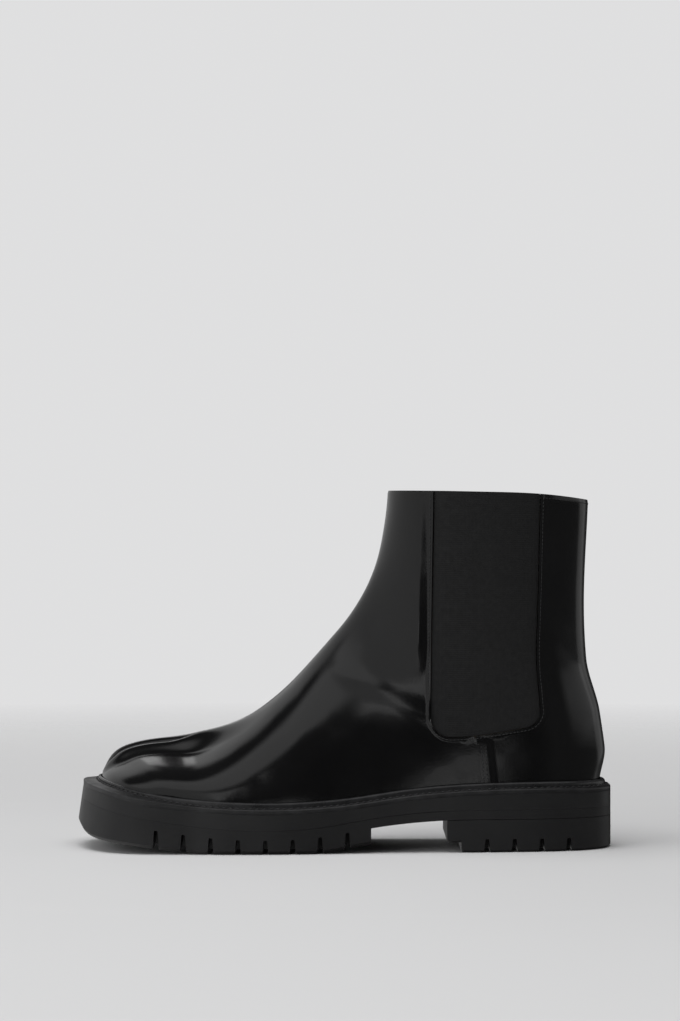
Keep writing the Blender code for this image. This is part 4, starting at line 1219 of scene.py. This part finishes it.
def grained(name, one, two, scale, roughness, depth, metallic=0.0):
    """Plain surface with its own grain: board, cork, foam cover or steel."""
    return textured(name, (scale, 5, 0.65), (one, two),
                    (scale * 2, 3), (roughness - 0.08, roughness + 0.08),
                    (noise, (scale * 3, 4), depth, 0.6), ramp=(0.35, 0.65), Metallic=metallic)


def finish_inner_nodes(board):
    """The hidden CAD pieces keep their shapes and get their own materials."""
    insole = grained("leather_board", (0.045, 0.040, 0.034), (0.070, 0.062, 0.053), 180, 0.75, 0.0003)
    cork = grained("ground_cork", (0.22, 0.13, 0.07), (0.55, 0.38, 0.22), 420, 0.9, 0.0006)
    steel = grained("plain_steel", (0.48, 0.49, 0.51), (0.60, 0.61, 0.63), 300, 0.34, 0.00005, 1.0)
    finishes = {"heel_counter": board, "insole_board": insole, "cork_filler": cork, "shank": steel}
    finishes.update({f"heel_nail_{number}": steel for number in range(1, 6)})
    for node, finish in finishes.items():
        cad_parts[node].data.materials.clear()
        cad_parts[node].data.materials.append(finish)


# ---- stage ----
PALE = (0.74, 0.74, 0.745, 1)


def mixed_shader(tree, share, one, two):
    """The first shader where share is 0, the second where it is 1."""
    made = add_node(tree, "MixShader", Fac=share)
    tree.links.new(one, made.inputs[1])
    tree.links.new(two, made.inputs[2])
    return made.outputs["Shader"]


def make_floor():
    """Pale round floor that fades into the background."""
    mesh = bpy.data.meshes.new("floor")
    shape = bmesh.new()
    bmesh.ops.create_circle(shape, cap_ends=True, radius=5.0, segments=96)
    shape.to_mesh(mesh)
    shape.free()
    made, tree, shader, place = blank_material("floor_paint")
    shader.inputs["Base Color"].default_value = PALE
    shader.inputs["Roughness"].default_value = 0.7
    far = add_node(tree, "VectorMath", {"operation": "LENGTH"}, Vector=place)
    fade = to_range(tree, far.outputs["Value"], 0.0, 1.0, 0.35, 1.5)
    clear = add_node(tree, "BsdfTransparent")
    blend = mixed_shader(tree, fade, shader.outputs["BSDF"], clear.outputs["BSDF"])
    tree.links.new(blend, tree.nodes["Material Output"].inputs["Surface"])
    mesh.materials.append(made)
    floor = bpy.data.objects.new("floor", mesh)
    bpy.context.scene.collection.objects.link(floor)
    floor.location.z = -0.0002
    floor.visible_glossy = False             # so that the black leather stays dark towards the ground


# Soft areas of light round the boot: strength, then limits that all hold, each a direction with
# the cosine where the light starts and the one where it is full.
AMBIENT = 0.03
LEFT, RIGHT, UP, DOWN, FRONT = (-1, 0, 0), (1, 0, 0), (0, 0, 1), (0, 0, -1), (0, -1, 0)
BEHIND_HEEL = (0.80, 0.59, 0.05)
GLOWS = [
    (0.48, [(LEFT, 0.12, 0.22), (DOWN, -0.74, -0.62)]),                        # wall on the left
    (0.75, [(LEFT, 0.05, 0.12), (UP, 0.62, 0.74), (FRONT, -0.25, 0.05)]),      # overhead, left part
    (0.70, [(RIGHT, -0.13, -0.05), (UP, 0.74, 0.84), (FRONT, -0.25, 0.05)]),   # overhead, right part
    (0.95, [(LEFT, 0.06, 0.09), (RIGHT, -0.20, -0.16), (UP, 0.10, 0.22), (DOWN, -0.60, -0.50)]),
    (0.30, [(BEHIND_HEEL, 0.955, 0.98)]),                                      # narrow one
    (0.40, [(RIGHT, 0.80, 0.90), (UP, 0.05, 0.09)]),                           # far right
    (0.06, [(RIGHT, 0.40, 0.60)]),                                             # faint, right
    (0.80, [(FRONT, 0.955, 0.975), (DOWN, 0.045, 0.065)]),                     # low, in front
]


def glow(tree, place, axis, start, full):
    """1 inside a round area of directions, 0 outside, with a soft edge."""
    along = add_node(tree, "VectorMath", {"operation": "DOT_PRODUCT"}, Vector=place)
    along.inputs[1].default_value = np.array(axis) / np.linalg.norm(axis)
    fade = add_node(tree, "MapRange", {"interpolation_type": "SMOOTHSTEP"}, Value=along.outputs["Value"],
                    From_Min=start, From_Max=full)
    return fade.outputs["Result"]


def combined(tree, operation, *values):
    """Sum or product of two values, each a socket or a number."""
    made = add_node(tree, "Math", {"operation": operation})
    for socket, value in zip(made.inputs, values):
        if isinstance(value, float):
            socket.default_value = value
        else:
            tree.links.new(value, socket)
    return made.outputs["Value"]


def make_world():
    """Even pale background; the boot is lit by soft areas with darkness between them."""
    world = bpy.data.worlds.new("studio")
    bpy.context.scene.world = world
    world.use_nodes = True
    tree = world.node_tree
    seen = tree.nodes["Background"]
    seen.inputs["Color"].default_value = PALE
    place = add_node(tree, "TexCoord").outputs["Generated"]
    total = AMBIENT
    for strength, limits in GLOWS:
        for axis, start, full in limits:
            strength = combined(tree, "MULTIPLY", glow(tree, place, axis, start, full), strength)
        total = combined(tree, "ADD", strength, total)
    lit = add_node(tree, "Background", Strength=total)
    camera = add_node(tree, "LightPath").outputs["Is Camera Ray"]
    mix = mixed_shader(tree, camera, lit.outputs["Background"], seen.outputs["Background"])
    tree.links.new(mix, tree.nodes["World Output"].inputs["Surface"])


def area_light(name, place, size, power):
    """Rectangular light that points at the boot's middle and isn't mirrored in the leather."""
    data = bpy.data.lights.new(name, "AREA")
    data.shape = "RECTANGLE"
    data.size, data.size_y = size
    data.energy = power
    made = bpy.data.objects.new(name, data)
    made.location = place
    made.rotation_euler = (Vector((0, 0, 0.08)) - Vector(place)).to_track_quat("-Z", "Y").to_euler()
    made.visible_glossy = False
    bpy.context.scene.collection.objects.link(made)


def make_lights():
    area_light("overhead", (-0.2, -0.3, 2.2), (2.0, 1.6), 34)
    area_light("front_fill", (-1.7, -1.7, 0.8), (1.6, 1.2), 16)


# ---- everything ----
def main():
    leather = polished_leather()
    lining = lining_leather()
    thread = waxed_thread()
    board = grained("pressed_fibre", (0.055, 0.048, 0.040), (0.080, 0.070, 0.059), 260, 0.8, 0.0003)
    make_vamp(leather, lining, board)
    make_quarter(leather, lining)
    make_gores(ribbed_elastic())
    make_stitching(thread)
    foot_outline = contour(lambda x: curve(FEATHER, x))
    sole_outline = foot_outline.grown(welt_reach)
    welt, bead = waxed_edge("waxed_welt", 0.32, 0.42), waxed_edge("waxed_bead", 0.2, 0.28)
    make_welt(foot_outline, welt, bead, thread)
    smooth = moulded_rubber("midsole_rubber", (0.012, 0.012, 0.0125), (0.017, 0.017, 0.0175), 0.36, 0.46)
    make_midsole(sole_outline, smooth)
    tread = moulded_rubber("tread_rubber", (0.011, 0.011, 0.0115), (0.016, 0.016, 0.0165), 0.38, 0.5)
    make_outsole(sole_outline, tread)
    make_heel(sole_outline, tread)
    foam = grained("foam_cover", (0.045, 0.042, 0.038), (0.065, 0.060, 0.055), 500, 0.85, 0.0002)
    make_footbed(lining, foam)
    finish_inner_nodes(board)
    make_floor()
    make_world()
    make_lights()
    bpy.context.scene.view_settings.view_transform = "Standard"


main()
